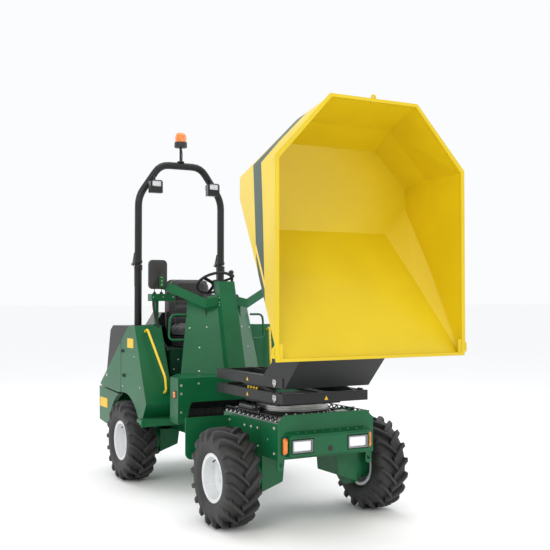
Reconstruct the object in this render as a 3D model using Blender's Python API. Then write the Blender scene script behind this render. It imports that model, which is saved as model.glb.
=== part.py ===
"""Articulated site dumper with a slewing, high-lifting, forward-tipping skip.

Metres, +Z up, the machine's front towards -Y and its left side towards +X. Every piece is drawn
with the front axle at y = 0; the empty "machine" then moves the whole model so that the middle of
its length is at y = 0, on the ground. The skip is drawn tipped forwards, with its mouth upright.
"""

import math

import bmesh
import bpy
from mathutils import Matrix, Vector

# Wheels
TYRE_RADIUS = 0.355
TYRE_WIDTH = 0.264
RIM_RADIUS = 0.172
HALF_TRACK = 0.627
WHEELBASE = 1.959
HUB_RADIUS = 0.11
ROUND_STEPS = 40

# Clearances
SEAT_GAP = 0.0003
RUNNING_GAP = 0.0005
PIN_GAP = 0.0005
DASH_GAP = 0.001

# Front chassis
FRONT_HALF_WIDTH = 0.40
FRONT_PLATE_Y = -0.367
FRONT_REAR_Y = 0.50
FRONT_FLOOR_Z = 0.507
DECK_Z = 0.755
DECK_THICKNESS = 0.008
PLATE_TOP_Z = 0.815
PLATE_THICKNESS = 0.012
SHEET = 0.012
LAMP_BOX_DEPTH = 0.053
MUDGUARD_Y = 0.412

# Articulation
ARTICULATION_Y = 0.72
YOKE_HALF_WIDTH = 0.10
NOSE_Z = (0.555, 0.635)
YOKE_PLATE = 0.030
YOKE_GAP = 0.010
PIN_RADIUS = 0.028

# Slew ring and lift frames
SLEW_Y = 0.13
SLEW_RADIUS = 0.27
SLEW_BASE_TOP_Z = 0.800
SLEW_TOP_Z = 0.848
LIFT_HALF_WIDTH = 0.36
LIFT_FRONT_Y = -0.36
LIFT_REAR_Y = 0.71
RAIL = 0.03
LOWER_RAIL_Z = (0.888, 0.960)
UPPER_RAIL_Z = (0.998, 1.073)
ARM_FRONT_Y = -0.30
LOWER_PIN_Z = 0.925
UPPER_PIN_Z = 1.040
ARM_LENGTH = 0.85
ARM_HALF_HEIGHT = 0.0245
ARM_THICKNESS = 0.022
ARM_PIN_RADIUS = 0.0125
LIFT_EYE_REACH = 0.25
LIFT_BASE = (0.50, 0.925)

# Skip, tipped: its mouth faces forwards
SKIP_MOUTH_Y = -0.97
SKIP_CREASE_Y = -0.61
SKIP_FLOOR_Y = -0.37
SKIP_WALL = 0.008
SKIP_RIM = 0.022
SKIP_PIVOT = (-0.55, 1.30)
SKIP_MOUTH = ((0.342, 2.945), (0.738, 2.514), (0.738, 1.310), (0.730, 1.250))
SKIP_FLOOR = ((0.420, 2.730), (0.700, 2.460), (0.700, 2.310), (0.510, 2.110))
SKIP_CREASE_TOP = ((0.388, 2.846), (0.722, 2.512))
SKIP_EAR_X = 0.285
TIP_BASE = (0.20, 1.045)
TIP_EYE = (-0.602, 1.493)

# Rear chassis and driver's place
REAR_FRAME_Z = (0.450, 0.600)
REAR_FRAME_HALF_WIDTH = 0.30
BODY_HALF_WIDTH = 0.70
FENDER_INNER_X = 0.45
ARCH_RADIUS = 0.43
REAR_END_Y = 2.671
HOOD_SEAM_Y = 2.045
FLOOR_TOP_Z = 0.630
BULKHEAD_Y = 0.980
BULKHEAD_HALF_WIDTH = 0.585
BULKHEAD_TOP_Z = 0.980
SEAT_FRONT_Y = 1.66
SEAT_BOX_LOW_Z = 0.950
SEAT_BOX_TOP_Z = 1.18
HOOD_HALF_WIDTH = 0.64
HOOD_WALL = 0.02
HOOD_HINGE = (2.605, 0.855)
HOOD_GAP = 0.0075

# Roll-over bar
ROPS_HALF_WIDTH = 0.436
ROPS_Y = 2.326
ROPS_TUBE_RADIUS = 0.035
ROPS_FOLD_Z = 1.965
ROPS_BEND_Z = 2.615
ROPS_TOP_Z = 2.934
ROPS_TOP_HALF_WIDTH = 0.213
ROPS_HINGE_Y = 2.390

# Steering wheel
WHEEL_CENTRE = (0.0, 1.53, 1.775)
WHEEL_RADIUS = 0.175
WHEEL_TILT = math.radians(33)

# Steering cylinder: its base on the rear chassis, its rod eye on the front one
STEER_BASE = (0.20, 1.13)
STEER_EYE = (0.24, 0.56)
STEER_Z = 0.560

SIDES = (("right", -1), ("left", 1))
WHEELS = (
    ("front_right", -1, 0.0),
    ("front_left", 1, 0.0),
    ("rear_right", -1, WHEELBASE),
    ("rear_left", 1, WHEELBASE),
)
LENGTH_MIDDLE_Y = (SKIP_MOUTH_Y - SKIP_WALL + REAR_END_Y) / 2

PAINTS = {
    "green": ((0.03, 0.20, 0.075), 0.35, 0.0),
    "dark_green": ((0.02, 0.10, 0.045), 0.40, 0.0),
    "yellow": ((0.80, 0.62, 0.01), 0.35, 0.0),
    "black": ((0.02, 0.02, 0.022), 0.50, 0.0),
    "grey": ((0.08, 0.085, 0.09), 0.45, 0.0),
    "deck_grey": ((0.45, 0.46, 0.46), 0.50, 0.0),
    "steel": ((0.60, 0.60, 0.60), 0.30, 1.0),
    "chrome": ((0.80, 0.80, 0.80), 0.12, 1.0),
    "rubber": ((0.03, 0.03, 0.03), 0.80, 0.0),
    "rim_white": ((0.78, 0.79, 0.80), 0.35, 0.0),
    "seat_cover": ((0.10, 0.10, 0.11), 0.65, 0.0),
    "amber": ((0.90, 0.35, 0.02), 0.25, 0.0),
}

Y_AXIS, Z_AXIS = 1, 2


# --- scene and materials ---------------------------------------------------------------------


def clear_scene():
    for old in list(bpy.data.objects):
        bpy.data.objects.remove(old, do_unlink=True)


def paint(name):
    """The Principled material of this name, made on first use."""
    found = bpy.data.materials.get(name)
    if found:
        return found
    colour, roughness, metallic = PAINTS[name]
    made = bpy.data.materials.new(name)
    made.use_nodes = True
    shader = made.node_tree.nodes["Principled BSDF"]
    shader.inputs["Base Color"].default_value = (*colour, 1.0)
    shader.inputs["Roughness"].default_value = roughness
    shader.inputs["Metallic"].default_value = metallic
    made.diffuse_color = (*colour, 1.0)
    return made


def pivot(name, position):
    """An empty on a joint's axis; pieces that move about it are its children."""
    empty = bpy.data.objects.new(name, None)
    empty.location = position
    empty.parent = MACHINE
    bpy.context.scene.collection.objects.link(empty)
    return empty


def add(name, bm, colour, body=None, smooth=35):
    """Turns a bmesh into an object that rides on the empty of its body."""
    bmesh.ops.recalc_face_normals(bm, faces=bm.faces)
    mesh = bpy.data.meshes.new(name)
    bm.to_mesh(mesh)
    bm.free()
    mesh.shade_smooth()
    mesh.set_sharp_from_angle(angle=math.radians(smooth))
    mesh.materials.append(paint(colour))
    obj = bpy.data.objects.new(name, mesh)
    bpy.context.scene.collection.objects.link(obj)
    carrier = body or MACHINE
    obj.parent = carrier
    if body:
        obj.matrix_parent_inverse = Matrix.Translation(-Vector(body.location))
    return obj


def helper(obj):
    obj.hide_render = True
    obj.display_type = "WIRE"
    return obj


def combine(obj, operation, shapes):
    """Adds or cuts each bmesh with an EXACT Boolean; the shapes stay in the file as guides."""
    for count, shape in enumerate(shapes):
        tool = helper(add(f"{obj.name}_{operation.lower()}_{count}", shape, "grey"))
        modifier = obj.modifiers.new(tool.name, "BOOLEAN")
        modifier.operation = operation
        modifier.solver = "EXACT"
        modifier.object = tool
    return obj


def join(obj, *shapes):
    return combine(obj, "UNION", shapes)


def cut(obj, *shapes):
    return combine(obj, "DIFFERENCE", shapes)


# --- shapes ------------------------------------------------------------------------------------


def lift_point(axis, across, up, along):
    """A point from its two places in the outline's plane and its place along the axis."""
    if axis == 0:
        return Vector((along, across, up))
    if axis == Y_AXIS:
        return Vector((across, along, up))
    return Vector((across, up, along))


def rings_to_solid(rings, closed=False):
    """Joins rings of equally many points into a skin, with a face over each open end."""
    bm = bmesh.new()
    made = [[bm.verts.new(point) for point in ring] for ring in rings]
    pairs = list(zip(made, made[1:] + made[:1]))
    if not closed:
        pairs = pairs[:-1]
        bm.faces.new(made[0])
        bm.faces.new(made[-1])
    for first, second in pairs:
        for here in range(len(first)):
            after = (here + 1) % len(first)
            bm.faces.new((first[here], first[after], second[after], second[here]))
    return bm


def prism(outline, axis, low, high):
    """An outline drawn out along X (outline in y, z), Y (x, z) or Z (x, y)."""
    return rings_to_solid([[lift_point(axis, *point, end) for point in outline] for end in (low, high)])


def box(low, high):
    corners = ((low[0], low[1]), (high[0], low[1]), (high[0], high[1]), (low[0], high[1]))
    return prism(corners, Z_AXIS, low[2], high[2])


def arc(centre, radius, start, end, steps):
    """Points on an arc, from the start angle to the end angle in degrees."""
    angles = [math.radians(start + (end - start) * step / steps) for step in range(steps + 1)]
    return [(centre[0] + radius * math.cos(a), centre[1] + radius * math.sin(a)) for a in angles]


def disc(centre, radius, axis, low, high, steps=20):
    """A round bar along an axis; centre is its place in the plane across that axis."""
    return prism(arc(centre, radius, 0, 360 - 360 / steps, steps - 1), axis, low, high)


def turned(profile, centre, steps=ROUND_STEPS):
    """A closed profile of (x offset, radius) points, turned about the X axis through a centre."""
    bm = bmesh.new()
    loops = []
    for offset, radius in profile:
        spots = 1 if radius == 0 else steps
        angles = [2 * math.pi * (spot + 0.5) / steps for spot in range(spots)]
        loops.append(
            [
                bm.verts.new(
                    (centre[0] + offset, centre[1] + radius * math.sin(a), centre[2] + radius * math.cos(a))
                )
                for a in angles
            ]
        )
    for first, second in zip(loops, loops[1:] + loops[:1]):
        if len(first) == 1 and len(second) == 1:
            continue
        for spot in range(steps):
            after = (spot + 1) % steps
            corners = [first[spot % len(first)], first[after % len(first)]]
            corners += [second[after % len(second)], second[spot % len(second)]]
            bm.faces.new(list(dict.fromkeys(corners)))
    return bm


def rounded(points, radius, steps=4):
    """The polyline with each inner corner replaced by a smooth bend."""
    points = [Vector(point) for point in points]
    path = [points[0]]
    for before, corner, after in zip(points, points[1:], points[2:]):
        back = (before - corner).normalized()
        ahead = (after - corner).normalized()
        reach = min(radius, (before - corner).length * 0.45, (after - corner).length * 0.45)
        for step in range(steps + 1):
            t = step / steps
            start, end = corner + back * reach, corner + ahead * reach
            path.append(start * (1 - t) ** 2 + corner * 2 * t * (1 - t) + end * t**2)
    path.append(points[-1])
    return path


def sweep(path, section, side):
    """A section of (across, up) offsets carried along a path; side is the first "across" direction."""
    path = [Vector(point) for point in path]
    ways = [(b - a).normalized() for a, b in zip(path, path[1:])]
    across = (Vector(side) - ways[0] * ways[0].dot(Vector(side))).normalized()
    up = ways[0].cross(across)
    rings = []
    for spot, point in enumerate(path):
        coming = ways[max(spot - 1, 0)]
        going = ways[min(spot, len(ways) - 1)]
        mitre = (coming + going).normalized()
        ring = []
        for a, b in section:
            offset = across * a + up * b
            ring.append(point + offset - coming * (offset.dot(mitre) / coming.dot(mitre)))
        rings.append(ring)
        turn = coming.rotation_difference(going)
        across, up = turn @ across, turn @ up
    return rings_to_solid(rings)


def tube(path, radius, steps=12, side=(1, 0, 0)):
    return sweep(path, arc((0, 0), radius, 0, 360 - 360 / steps, steps - 1), side)


def link_outline(start, end, half_height, steps=6):
    """A bar outline between two pins, with round ends."""
    heading = math.degrees(math.atan2(end[1] - start[1], end[0] - start[0]))
    near = arc(start, half_height, heading + 90, heading + 270, steps)
    far = arc(end, half_height, heading - 90, heading + 90, steps)
    return near + far


def wrapped(points):
    """The convex outline round these points, anticlockwise."""
    ordered = sorted(set((round(x, 7), round(y, 7)) for x, y in points))
    halves = []
    for sequence in (ordered, ordered[::-1]):
        chain = []
        for point in sequence:
            while len(chain) > 1 and turn_of(chain[-2], chain[-1], point) <= 0:
                chain.pop()
            chain.append(point)
        halves += chain[:-1]
    return halves


def turn_of(a, b, c):
    return (b[0] - a[0]) * (c[1] - a[1]) - (b[1] - a[1]) * (c[0] - a[0])


def along(start, end, distance):
    """The point this far from the start, on the line to the end."""
    reach = math.dist(start, end)
    return tuple(a + (b - a) * distance / reach for a, b in zip(start, end))


# --- wheels ------------------------------------------------------------------------------------


def build_wheels():
    half = TYRE_WIDTH / 2
    bead_x = 0.094
    bead_radius = RIM_RADIUS - 0.0137
    facet = math.cos(math.pi / ROUND_STEPS)
    crown = TYRE_RADIUS / facet
    right_half = [
        (bead_x, bead_radius),
        (bead_x, RIM_RADIUS + 0.004),
        (half - 0.006, crown * 0.66),
        (half, crown * 0.78),
        (half - 0.012, crown * 0.91),
        (half - 0.040, crown),
    ]
    tyre_profile = right_half + [(-x, r) for x, r in reversed(right_half)]
    edge = bead_x + SEAT_GAP
    seat = bead_radius - SEAT_GAP / facet
    outer_half = [(edge, seat), (edge, RIM_RADIUS), (edge + 0.010, RIM_RADIUS), (edge + 0.010, 0.150)]
    disc_inner, disc_outer, disc_radius = -0.012, 0.002, 0.138
    for name, sign, axle_y in WHEELS:
        centre = (sign * HALF_TRACK, axle_y, TYRE_RADIUS)
        body = pivot(f"{name}_wheel_axis", centre)
        add(f"{name}_tyre", turned(tyre_profile, centre), "rubber", body, 50)
        rim = outer_half + [(disc_outer + 0.02, disc_radius), (disc_outer, disc_radius * 0.8), (disc_outer, 0)]
        rim += [(disc_inner, 0), (disc_inner, disc_radius * 0.9)]
        rim += [(-x, r) for x, r in reversed(outer_half)]
        add(f"{name}_rim", turned([(sign * x, r) for x, r in rim], centre), "rim_white", body, 40)


def wheel_carrier(name, axle_y, top_z, body):
    """Two legs under a chassis joined by a top plate; each holds a wheel motor."""
    outer_x, inner_x = 0.41, 0.22
    half_depth = 0.15
    plate = box((-outer_x, axle_y - half_depth, top_z - 0.016), (outer_x, axle_y + half_depth, top_z))
    carrier = add(name, plate, "green", body)
    disc_face = HALF_TRACK - 0.012 - RUNNING_GAP
    for _, sign in SIDES:
        leg = [(outer_x, top_z), (inner_x, top_z), (inner_x + 0.02, 0.31), (outer_x, 0.25)]
        centre = (axle_y, TYRE_RADIUS)
        ends = sorted((sign * (outer_x - 0.02), sign * (disc_face - 0.02)))
        stub_ends = sorted((sign * (disc_face - 0.03), sign * disc_face))
        flange_ends = sorted((sign * (outer_x - 0.02), sign * (outer_x + 0.035)))
        join(
            carrier,
            prism([(sign * x, z) for x, z in leg], Y_AXIS, axle_y - half_depth, axle_y + half_depth),
            disc(centre, 0.150, 0, *flange_ends, steps=28),
            disc(centre, HUB_RADIUS, 0, *ends, steps=24),
            disc(centre, 0.06, 0, *stub_ends, steps=20),
        )
    return carrier


# --- front chassis -----------------------------------------------------------------------------


def build_front():
    body = FRONT
    inner = FRONT_HALF_WIDTH - SHEET
    front_y = FRONT_PLATE_Y + PLATE_THICKNESS + SEAT_GAP
    shell = box((-FRONT_HALF_WIDTH, front_y, FRONT_FLOOR_Z), (FRONT_HALF_WIDTH, FRONT_REAR_Y, DECK_Z))
    frame = add("front_frame", shell, "green", body)
    pocket_top = DECK_Z - SHEET
    pockets = []
    for low_y, high_y in ((front_y + SHEET, SLEW_Y - SHEET / 2), (SLEW_Y + SHEET / 2, FRONT_REAR_Y - SHEET)):
        pockets.append(box((-inner, low_y, FRONT_FLOOR_Z - 0.01), (inner, high_y, pocket_top)))
    cut(frame, *pockets)
    lower_plate = NOSE_Z[0] - YOKE_GAP - YOKE_PLATE
    upper_plate = NOSE_Z[1] + YOKE_GAP + YOKE_PLATE
    neck_end = ARTICULATION_Y - 0.13
    yoke_end = ARTICULATION_Y + 0.07
    join(
        frame,
        box((-0.12, FRONT_REAR_Y - SHEET / 2, lower_plate), (0.12, neck_end, upper_plate)),
        box((-YOKE_HALF_WIDTH, neck_end - 0.01, lower_plate), (YOKE_HALF_WIDTH, yoke_end, NOSE_Z[0] - YOKE_GAP)),
        box((-YOKE_HALF_WIDTH, neck_end - 0.01, NOSE_Z[1] + YOKE_GAP), (YOKE_HALF_WIDTH, yoke_end, upper_plate)),
        disc((0, ARTICULATION_Y), PIN_RADIUS, Z_AXIS, lower_plate - 0.012, upper_plate + 0.012),
        box((0.20, FRONT_REAR_Y - SHEET / 2, STEER_Z - 0.045), (0.28, STEER_EYE[1] + 0.03, STEER_Z - 0.025)),
    )
    chamfer = 0.055
    half = FRONT_HALF_WIDTH + 0.002
    plate = [(-half, FRONT_FLOOR_Z), (half, FRONT_FLOOR_Z), (half, PLATE_TOP_Z - chamfer)]
    plate += [(half - chamfer, PLATE_TOP_Z), (-half + chamfer, PLATE_TOP_Z), (-half, PLATE_TOP_Z - chamfer)]
    add("front_plate", prism(plate, Y_AXIS, FRONT_PLATE_Y, FRONT_PLATE_Y + PLATE_THICKNESS), "green", body)
    deck_low = DECK_Z + SEAT_GAP
    deck_y = front_y + 0.004
    deck = box((-inner, deck_y, deck_low), (inner, FRONT_REAR_Y - 0.01, DECK_Z + DECK_THICKNESS))
    add("front_deck", deck, "deck_grey", body)
    box_back = FRONT_PLATE_Y - SEAT_GAP
    box_front = FRONT_PLATE_Y - LAMP_BOX_DEPTH
    lamp = [(box_back, 0.525), (box_front, 0.532), (box_front, 0.668), (box_front - 0.02, 0.676)]
    lamp += [(box_front - 0.02, 0.682), (box_back, 0.700)]
    lamp_box = add("lamp_box", prism(lamp, 0, -0.33, 0.33), "green", body)
    recesses = []
    for _, sign in SIDES:
        low, high = sorted((sign * 0.142, sign * 0.322))
        recesses.append(box((low, box_front - 0.01, 0.548), (high, box_front + 0.012, 0.652)))
    cut(lamp_box, *recesses)
    for name, sign in SIDES:
        low, high = sorted((sign * (FRONT_HALF_WIDTH + SEAT_GAP), sign * 0.762))
        guard = [(low, 0.735), (high, 0.735), (high, 0.735)]
        outer = high if sign > 0 else low
        inner_x = low if sign > 0 else high
        guard = [(inner_x, 0.735), (inner_x, 0.52), (inner_x + sign * 0.06, 0.44)]
        guard += arc((outer - sign * 0.05, 0.47), 0.05, 270, 270 + sign * 90, 4)
        guard += [(outer, 0.735)]
        add(f"mudguard_{name}", prism(guard, Y_AXIS, MUDGUARD_Y, MUDGUARD_Y + 0.008), "green", body)
    wheel_carrier("front_wheel_carrier", 0.0, FRONT_FLOOR_Z - SEAT_GAP, body)
    base_low = DECK_Z + DECK_THICKNESS + SEAT_GAP
    base = disc((0, SLEW_Y), SLEW_RADIUS + 0.015, Z_AXIS, base_low, SLEW_BASE_TOP_Z, ROUND_STEPS)
    worm_x = -(SLEW_RADIUS + 0.055)
    join(
        add("slew_drive", base, "black", body),
        disc((worm_x, 0.808), 0.034, Y_AXIS, SLEW_Y - 0.02, SLEW_Y + 0.20, 16),
        box((worm_x, SLEW_Y, base_low), (-SLEW_RADIUS * 0.8, SLEW_Y + 0.16, SLEW_BASE_TOP_Z)),
    )


# --- slewing and lifting ---------------------------------------------------------------------


def arm_ends():
    """Front and rear pin places of the two arms at rest, in (y, z)."""
    rear_y = ARM_FRONT_Y + math.sqrt(ARM_LENGTH**2 - (UPPER_PIN_Z - LOWER_PIN_Z) ** 2)
    lower_arm = ((ARM_FRONT_Y, LOWER_PIN_Z), (rear_y, UPPER_PIN_Z))
    upper_arm = ((ARM_FRONT_Y, UPPER_PIN_Z), (rear_y, LOWER_PIN_Z))
    return lower_arm, upper_arm


def rail_pair(rail_z, flange_z, flange_inner_x, front_y, rear_y):
    """Two L-shaped side rails, drawn out along Y, one for each side."""
    shapes = []
    web = LIFT_HALF_WIDTH - RAIL
    for _, sign in SIDES:
        corners = ((LIFT_HALF_WIDTH, rail_z[0]), (LIFT_HALF_WIDTH, rail_z[1]), (web, rail_z[1]))
        low_flange = flange_z[0] <= rail_z[0]
        if low_flange:
            outline = [*corners, (web, flange_z[1]), (flange_inner_x, flange_z[1]), (flange_inner_x, rail_z[0])]
        else:
            outline = [*corners[:2], (flange_inner_x, rail_z[1]), (flange_inner_x, flange_z[0])]
            outline += [(web, flange_z[0]), (web, rail_z[0])]
        shapes.append(prism([(sign * x, z) for x, z in outline], Y_AXIS, front_y, rear_y))
    return shapes


def cross_rail(y_low, rail_z):
    inner = LIFT_HALF_WIDTH - RAIL / 2
    return box((-inner, y_low, rail_z[0]), (inner, y_low + RAIL, rail_z[1]))


def build_lift():
    ring = disc((0, SLEW_Y), SLEW_RADIUS, Z_AXIS, SLEW_BASE_TOP_Z + RUNNING_GAP, SLEW_TOP_Z, ROUND_STEPS)
    add("slew_ring", ring, "steel", SLEW)

    lower_low, lower_high = LOWER_RAIL_Z
    track_top = LOWER_PIN_Z - ARM_HALF_HEIGHT - RUNNING_GAP
    rails = rail_pair(LOWER_RAIL_Z, (lower_low, track_top), 0.262, LIFT_FRONT_Y, LIFT_REAR_Y)
    plate_half = LIFT_HALF_WIDTH - RAIL - 0.06
    lower = add("lower_lift_frame", rails[0], "grey", SLEW)
    join(
        lower,
        rails[1],
        cross_rail(LIFT_FRONT_Y, LOWER_RAIL_Z),
        cross_rail(LIFT_REAR_Y - RAIL, LOWER_RAIL_Z),
        box((-plate_half, SLEW_Y - 0.26, SLEW_TOP_Z + SEAT_GAP), (plate_half, SLEW_Y + 0.26, lower_low + 0.006)),
        box((-0.30, SLEW_Y - 0.20, SLEW_TOP_Z + 0.02), (0.30, SLEW_Y + 0.20, lower_low + 0.006)),
    )
    ears = []
    for _, sign in SIDES:
        low, high = sorted((sign * 0.034, sign * 0.046))
        outline = link_outline((LIFT_REAR_Y - 0.02, LIFT_BASE[1]), LIFT_BASE, 0.022)
        ears.append(prism(outline, 0, low, high))
    join(lower, *ears)
    join(lower, disc(LIFT_BASE, ARM_PIN_RADIUS, 0, -0.046, 0.046))
    reach = LIFT_HALF_WIDTH - RAIL / 2
    bores = []
    for _, sign in SIDES:
        low, high = sorted((sign * (LIFT_HALF_WIDTH - RAIL - 0.01), sign * (reach + PIN_GAP)))
        bores.append(disc((ARM_FRONT_Y, LOWER_PIN_Z), ARM_PIN_RADIUS + PIN_GAP, 0, low, high))
    cut(lower, *bores)

    lower_arm, upper_arm = arm_ends()
    middle = tuple((a + b) / 2 for a, b in zip(*lower_arm))
    outer_in = LIFT_HALF_WIDTH - RAIL - 0.008 - ARM_THICKNESS
    inner_in = outer_in - 0.008 - ARM_THICKNESS
    arm_a = add(
        "lower_scissor_arm",
        prism(link_outline(*lower_arm, ARM_HALF_HEIGHT), 0, outer_in, outer_in + ARM_THICKNESS),
        "grey",
        LOWER_ARM,
    )
    join(
        arm_a,
        prism(link_outline(*lower_arm, ARM_HALF_HEIGHT), 0, -outer_in - ARM_THICKNESS, -outer_in),
        disc((ARM_FRONT_Y, LOWER_PIN_Z), ARM_PIN_RADIUS, 0, -reach, reach),
        disc(middle, ARM_PIN_RADIUS, 0, inner_in, outer_in + 0.01),
        disc(middle, ARM_PIN_RADIUS, 0, -outer_in - 0.01, -inner_in),
    )
    arm_b = add(
        "upper_scissor_arm",
        prism(link_outline(*upper_arm, ARM_HALF_HEIGHT), 0, inner_in, inner_in + ARM_THICKNESS),
        "grey",
        UPPER_ARM,
    )
    lift_eye = along(middle, upper_arm[0], LIFT_EYE_REACH)
    tie = along(middle, upper_arm[0], LIFT_EYE_REACH + 0.10)
    join(
        arm_b,
        prism(link_outline(*upper_arm, ARM_HALF_HEIGHT), 0, -inner_in - ARM_THICKNESS, -inner_in),
        disc(tie, 0.018, 0, -inner_in - 0.01, inner_in + 0.01),
        prism(link_outline(tie, lift_eye, 0.016), 0, 0.034, 0.046),
        prism(link_outline(tie, lift_eye, 0.016), 0, -0.046, -0.034),
    )
    bored = ARM_PIN_RADIUS + PIN_GAP
    holes = []
    for place in (middle, upper_arm[0]):
        for _, sign in SIDES:
            low, high = sorted((sign * (inner_in - 0.01), sign * (inner_in + ARM_THICKNESS + 0.01)))
            holes.append(disc(place, bored, 0, low, high))
    cut(arm_b, *holes)

    track_low = UPPER_PIN_Z + ARM_HALF_HEIGHT + RUNNING_GAP
    rails = rail_pair(UPPER_RAIL_Z, (track_low, UPPER_RAIL_Z[1]), 0.296, LIFT_FRONT_Y, LIFT_REAR_Y)
    upper = add("upper_lift_frame", rails[0], "grey", UPPER)
    web = LIFT_HALF_WIDTH - RAIL
    pivot_y, pivot_z = SKIP_PIVOT
    cheek = [(0.0, UPPER_RAIL_Z[1] - 0.02), (LIFT_FRONT_Y, UPPER_RAIL_Z[0]), (LIFT_FRONT_Y - 0.02, UPPER_RAIL_Z[0])]
    cheek += [(pivot_y - 0.07, pivot_z - 0.06)]
    cheek += arc(SKIP_PIVOT, 0.06, 180, 45, 6)
    cheek += [(-0.20, UPPER_RAIL_Z[1] + 0.11), (-0.06, UPPER_RAIL_Z[1])]
    shapes = [rails[1], cross_rail(LIFT_FRONT_Y, UPPER_RAIL_Z), cross_rail(LIFT_REAR_Y - RAIL, UPPER_RAIL_Z)]
    for _, sign in SIDES:
        low, high = sorted((sign * (web + 0.006), sign * (LIFT_HALF_WIDTH - 0.006)))
        shapes.append(prism(cheek, 0, low, high))
        low, high = sorted((sign * (inner_in - 0.002), sign * (web + 0.01)))
        shapes.append(disc(upper_arm[0], ARM_PIN_RADIUS, 0, low, high))
        low, high = sorted((sign * (SKIP_EAR_X - 0.01), sign * (web + 0.01)))
        shapes.append(disc(SKIP_PIVOT, 0.02, 0, low, high))
        low, high = sorted((sign * 0.042, sign * 0.054))
        shapes.append(prism(link_outline((LIFT_REAR_Y - 0.02, TIP_BASE[1]), TIP_BASE, 0.026), 0, low, high))
    shapes.append(disc(TIP_BASE, 0.016, 0, -0.054, 0.054))
    front_sheet = [(LIFT_FRONT_Y - 0.02, UPPER_RAIL_Z[0]), (pivot_y - 0.07, pivot_z - 0.06)]
    front_sheet += [(pivot_y - 0.055, pivot_z - 0.055), (LIFT_FRONT_Y + 0.005, UPPER_RAIL_Z[0])]
    shapes.append(prism(front_sheet, 0, -web - 0.01, web + 0.01))
    join(upper, *shapes)


def ram(barrel_name, rod_name, base, eye, barrel_body, rod_body, size):
    """A cylinder in the plane x = 0 between its base pin and its rod eye, in (y, z)."""
    closed, bore, rod_radius, eye_half, pin_radius = size
    mouth = along(base, eye, closed)
    root = along(base, eye, bore * 0.6)
    inside = along(base, eye, closed - 0.05)
    tip = along(base, eye, math.dist(base, eye) - rod_radius)

    def spot(place):
        return (0.0, *place)

    barrel = add(barrel_name, tube([spot(root), spot(mouth)], bore, 16), "black", barrel_body)
    join(barrel, disc(base, bore * 0.8, 0, -eye_half, eye_half, 16))
    cut(
        barrel,
        tube([spot(along(base, eye, bore * 2)), spot(along(base, eye, closed + 0.01))], rod_radius + 0.001, 16),
        disc(base, pin_radius + PIN_GAP, 0, -0.1, 0.1),
    )
    rod = add(rod_name, tube([spot(inside), spot(tip)], rod_radius, 16), "chrome", rod_body)
    join(rod, disc(eye, rod_radius * 1.5, 0, -eye_half, eye_half, 16))
    cut(rod, disc(eye, pin_radius + PIN_GAP, 0, -0.1, 0.1))


# --- skip ----------------------------------------------------------------------------------------


def skip_ring(half, y):
    """The eight-cornered section of the skip, mirrored about x = 0."""
    return [Vector((x, y, z)) for x, z in half] + [Vector((-x, y, z)) for x, z in reversed(half)]


def build_skip():
    share = (SKIP_CREASE_Y - SKIP_FLOOR_Y) / (SKIP_MOUTH_Y - SKIP_FLOOR_Y)
    lower = [
        tuple(a + (b - a) * share for a, b in zip(floor, mouth))
        for floor, mouth in zip(SKIP_FLOOR[2:], SKIP_MOUTH[2:])
    ]
    rings = [
        skip_ring(SKIP_FLOOR, SKIP_FLOOR_Y),
        skip_ring([*SKIP_CREASE_TOP, *lower], SKIP_CREASE_Y),
        skip_ring(SKIP_MOUTH, SKIP_MOUTH_Y + SKIP_RIM),
    ]
    centre_z = (SKIP_MOUTH[0][1] + SKIP_MOUTH[3][1]) / 2
    flange = []
    for x, z in SKIP_MOUTH:
        flange.append((x + SKIP_RIM * (1 if x > 0.5 else 0.4), z + SKIP_RIM * math.copysign(0.6, z - centre_z)))
    rings.append(skip_ring(SKIP_MOUTH, SKIP_MOUTH_Y))
    rings.append(skip_ring(flange, SKIP_MOUTH_Y + 0.001))
    bm = bmesh.new()
    made = [[bm.verts.new(point) for point in ring] for ring in rings]
    bm.faces.new(made[0])
    for first, second in zip(made, made[1:]):
        for here in range(len(first)):
            after = (here + 1) % len(first)
            bm.faces.new((first[here], first[after], second[after], second[here]))
    skip = add("skip", bm, "yellow", SKIP, 20)
    wall = skip.modifiers.new("wall", "SOLIDIFY")
    wall.thickness = SKIP_WALL
    wall.offset = 1.0
    wall.use_even_offset = True
    wall.use_quality_normals = True

    # Ears from the pouring slope's underside to the tipping pins
    slope_low = Vector((SKIP_MOUTH_Y, SKIP_MOUTH[3][1]))
    slope_high = Vector((SKIP_FLOOR_Y, SKIP_FLOOR[3][1]))
    way = (slope_high - slope_low).normalized()
    out = Vector((way.y, -way.x))
    skin = slope_low + out * (SKIP_WALL + 0.0025)
    web = LIFT_HALF_WIDTH - RAIL
    outer_ear = wrapped([skin + way * 0.28, skin + way * 0.74, *arc(SKIP_PIVOT, 0.045, 0, 345, 23)])
    inner_ear = wrapped([skin + way * 0.36, skin + way * 0.62, *arc(TIP_EYE, 0.030, 0, 345, 23)])
    beam = [skin + way * s + out * 0.002 for s in (0.38, 0.56)]
    beam += [skin + way * s + out * 0.04 for s in (0.56, 0.38)]
    shapes = []
    for _, sign in SIDES:
        shapes.append(prism(outer_ear, 0, *sorted((sign * (web - 0.028), sign * (web - 0.008)))))
        shapes.append(prism(inner_ear, 0, *sorted((sign * 0.042, sign * 0.054))))
    frame = add("skip_hinge_frame", shapes[0], "yellow", SKIP)
    join(frame, *shapes[1:], prism(beam, 0, -web + 0.02, web - 0.02))
    cut(frame, disc(SKIP_PIVOT, 0.02 + PIN_GAP, 0, -0.4, 0.4))


# --- rear chassis --------------------------------------------------------------------------------


def slant_z(y):
    """Height of the slanting joint between the side panels and the hood."""
    return 1.386 - (y - 1.857) * (1.386 - 0.812) / (2.649 - 1.857)


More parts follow.
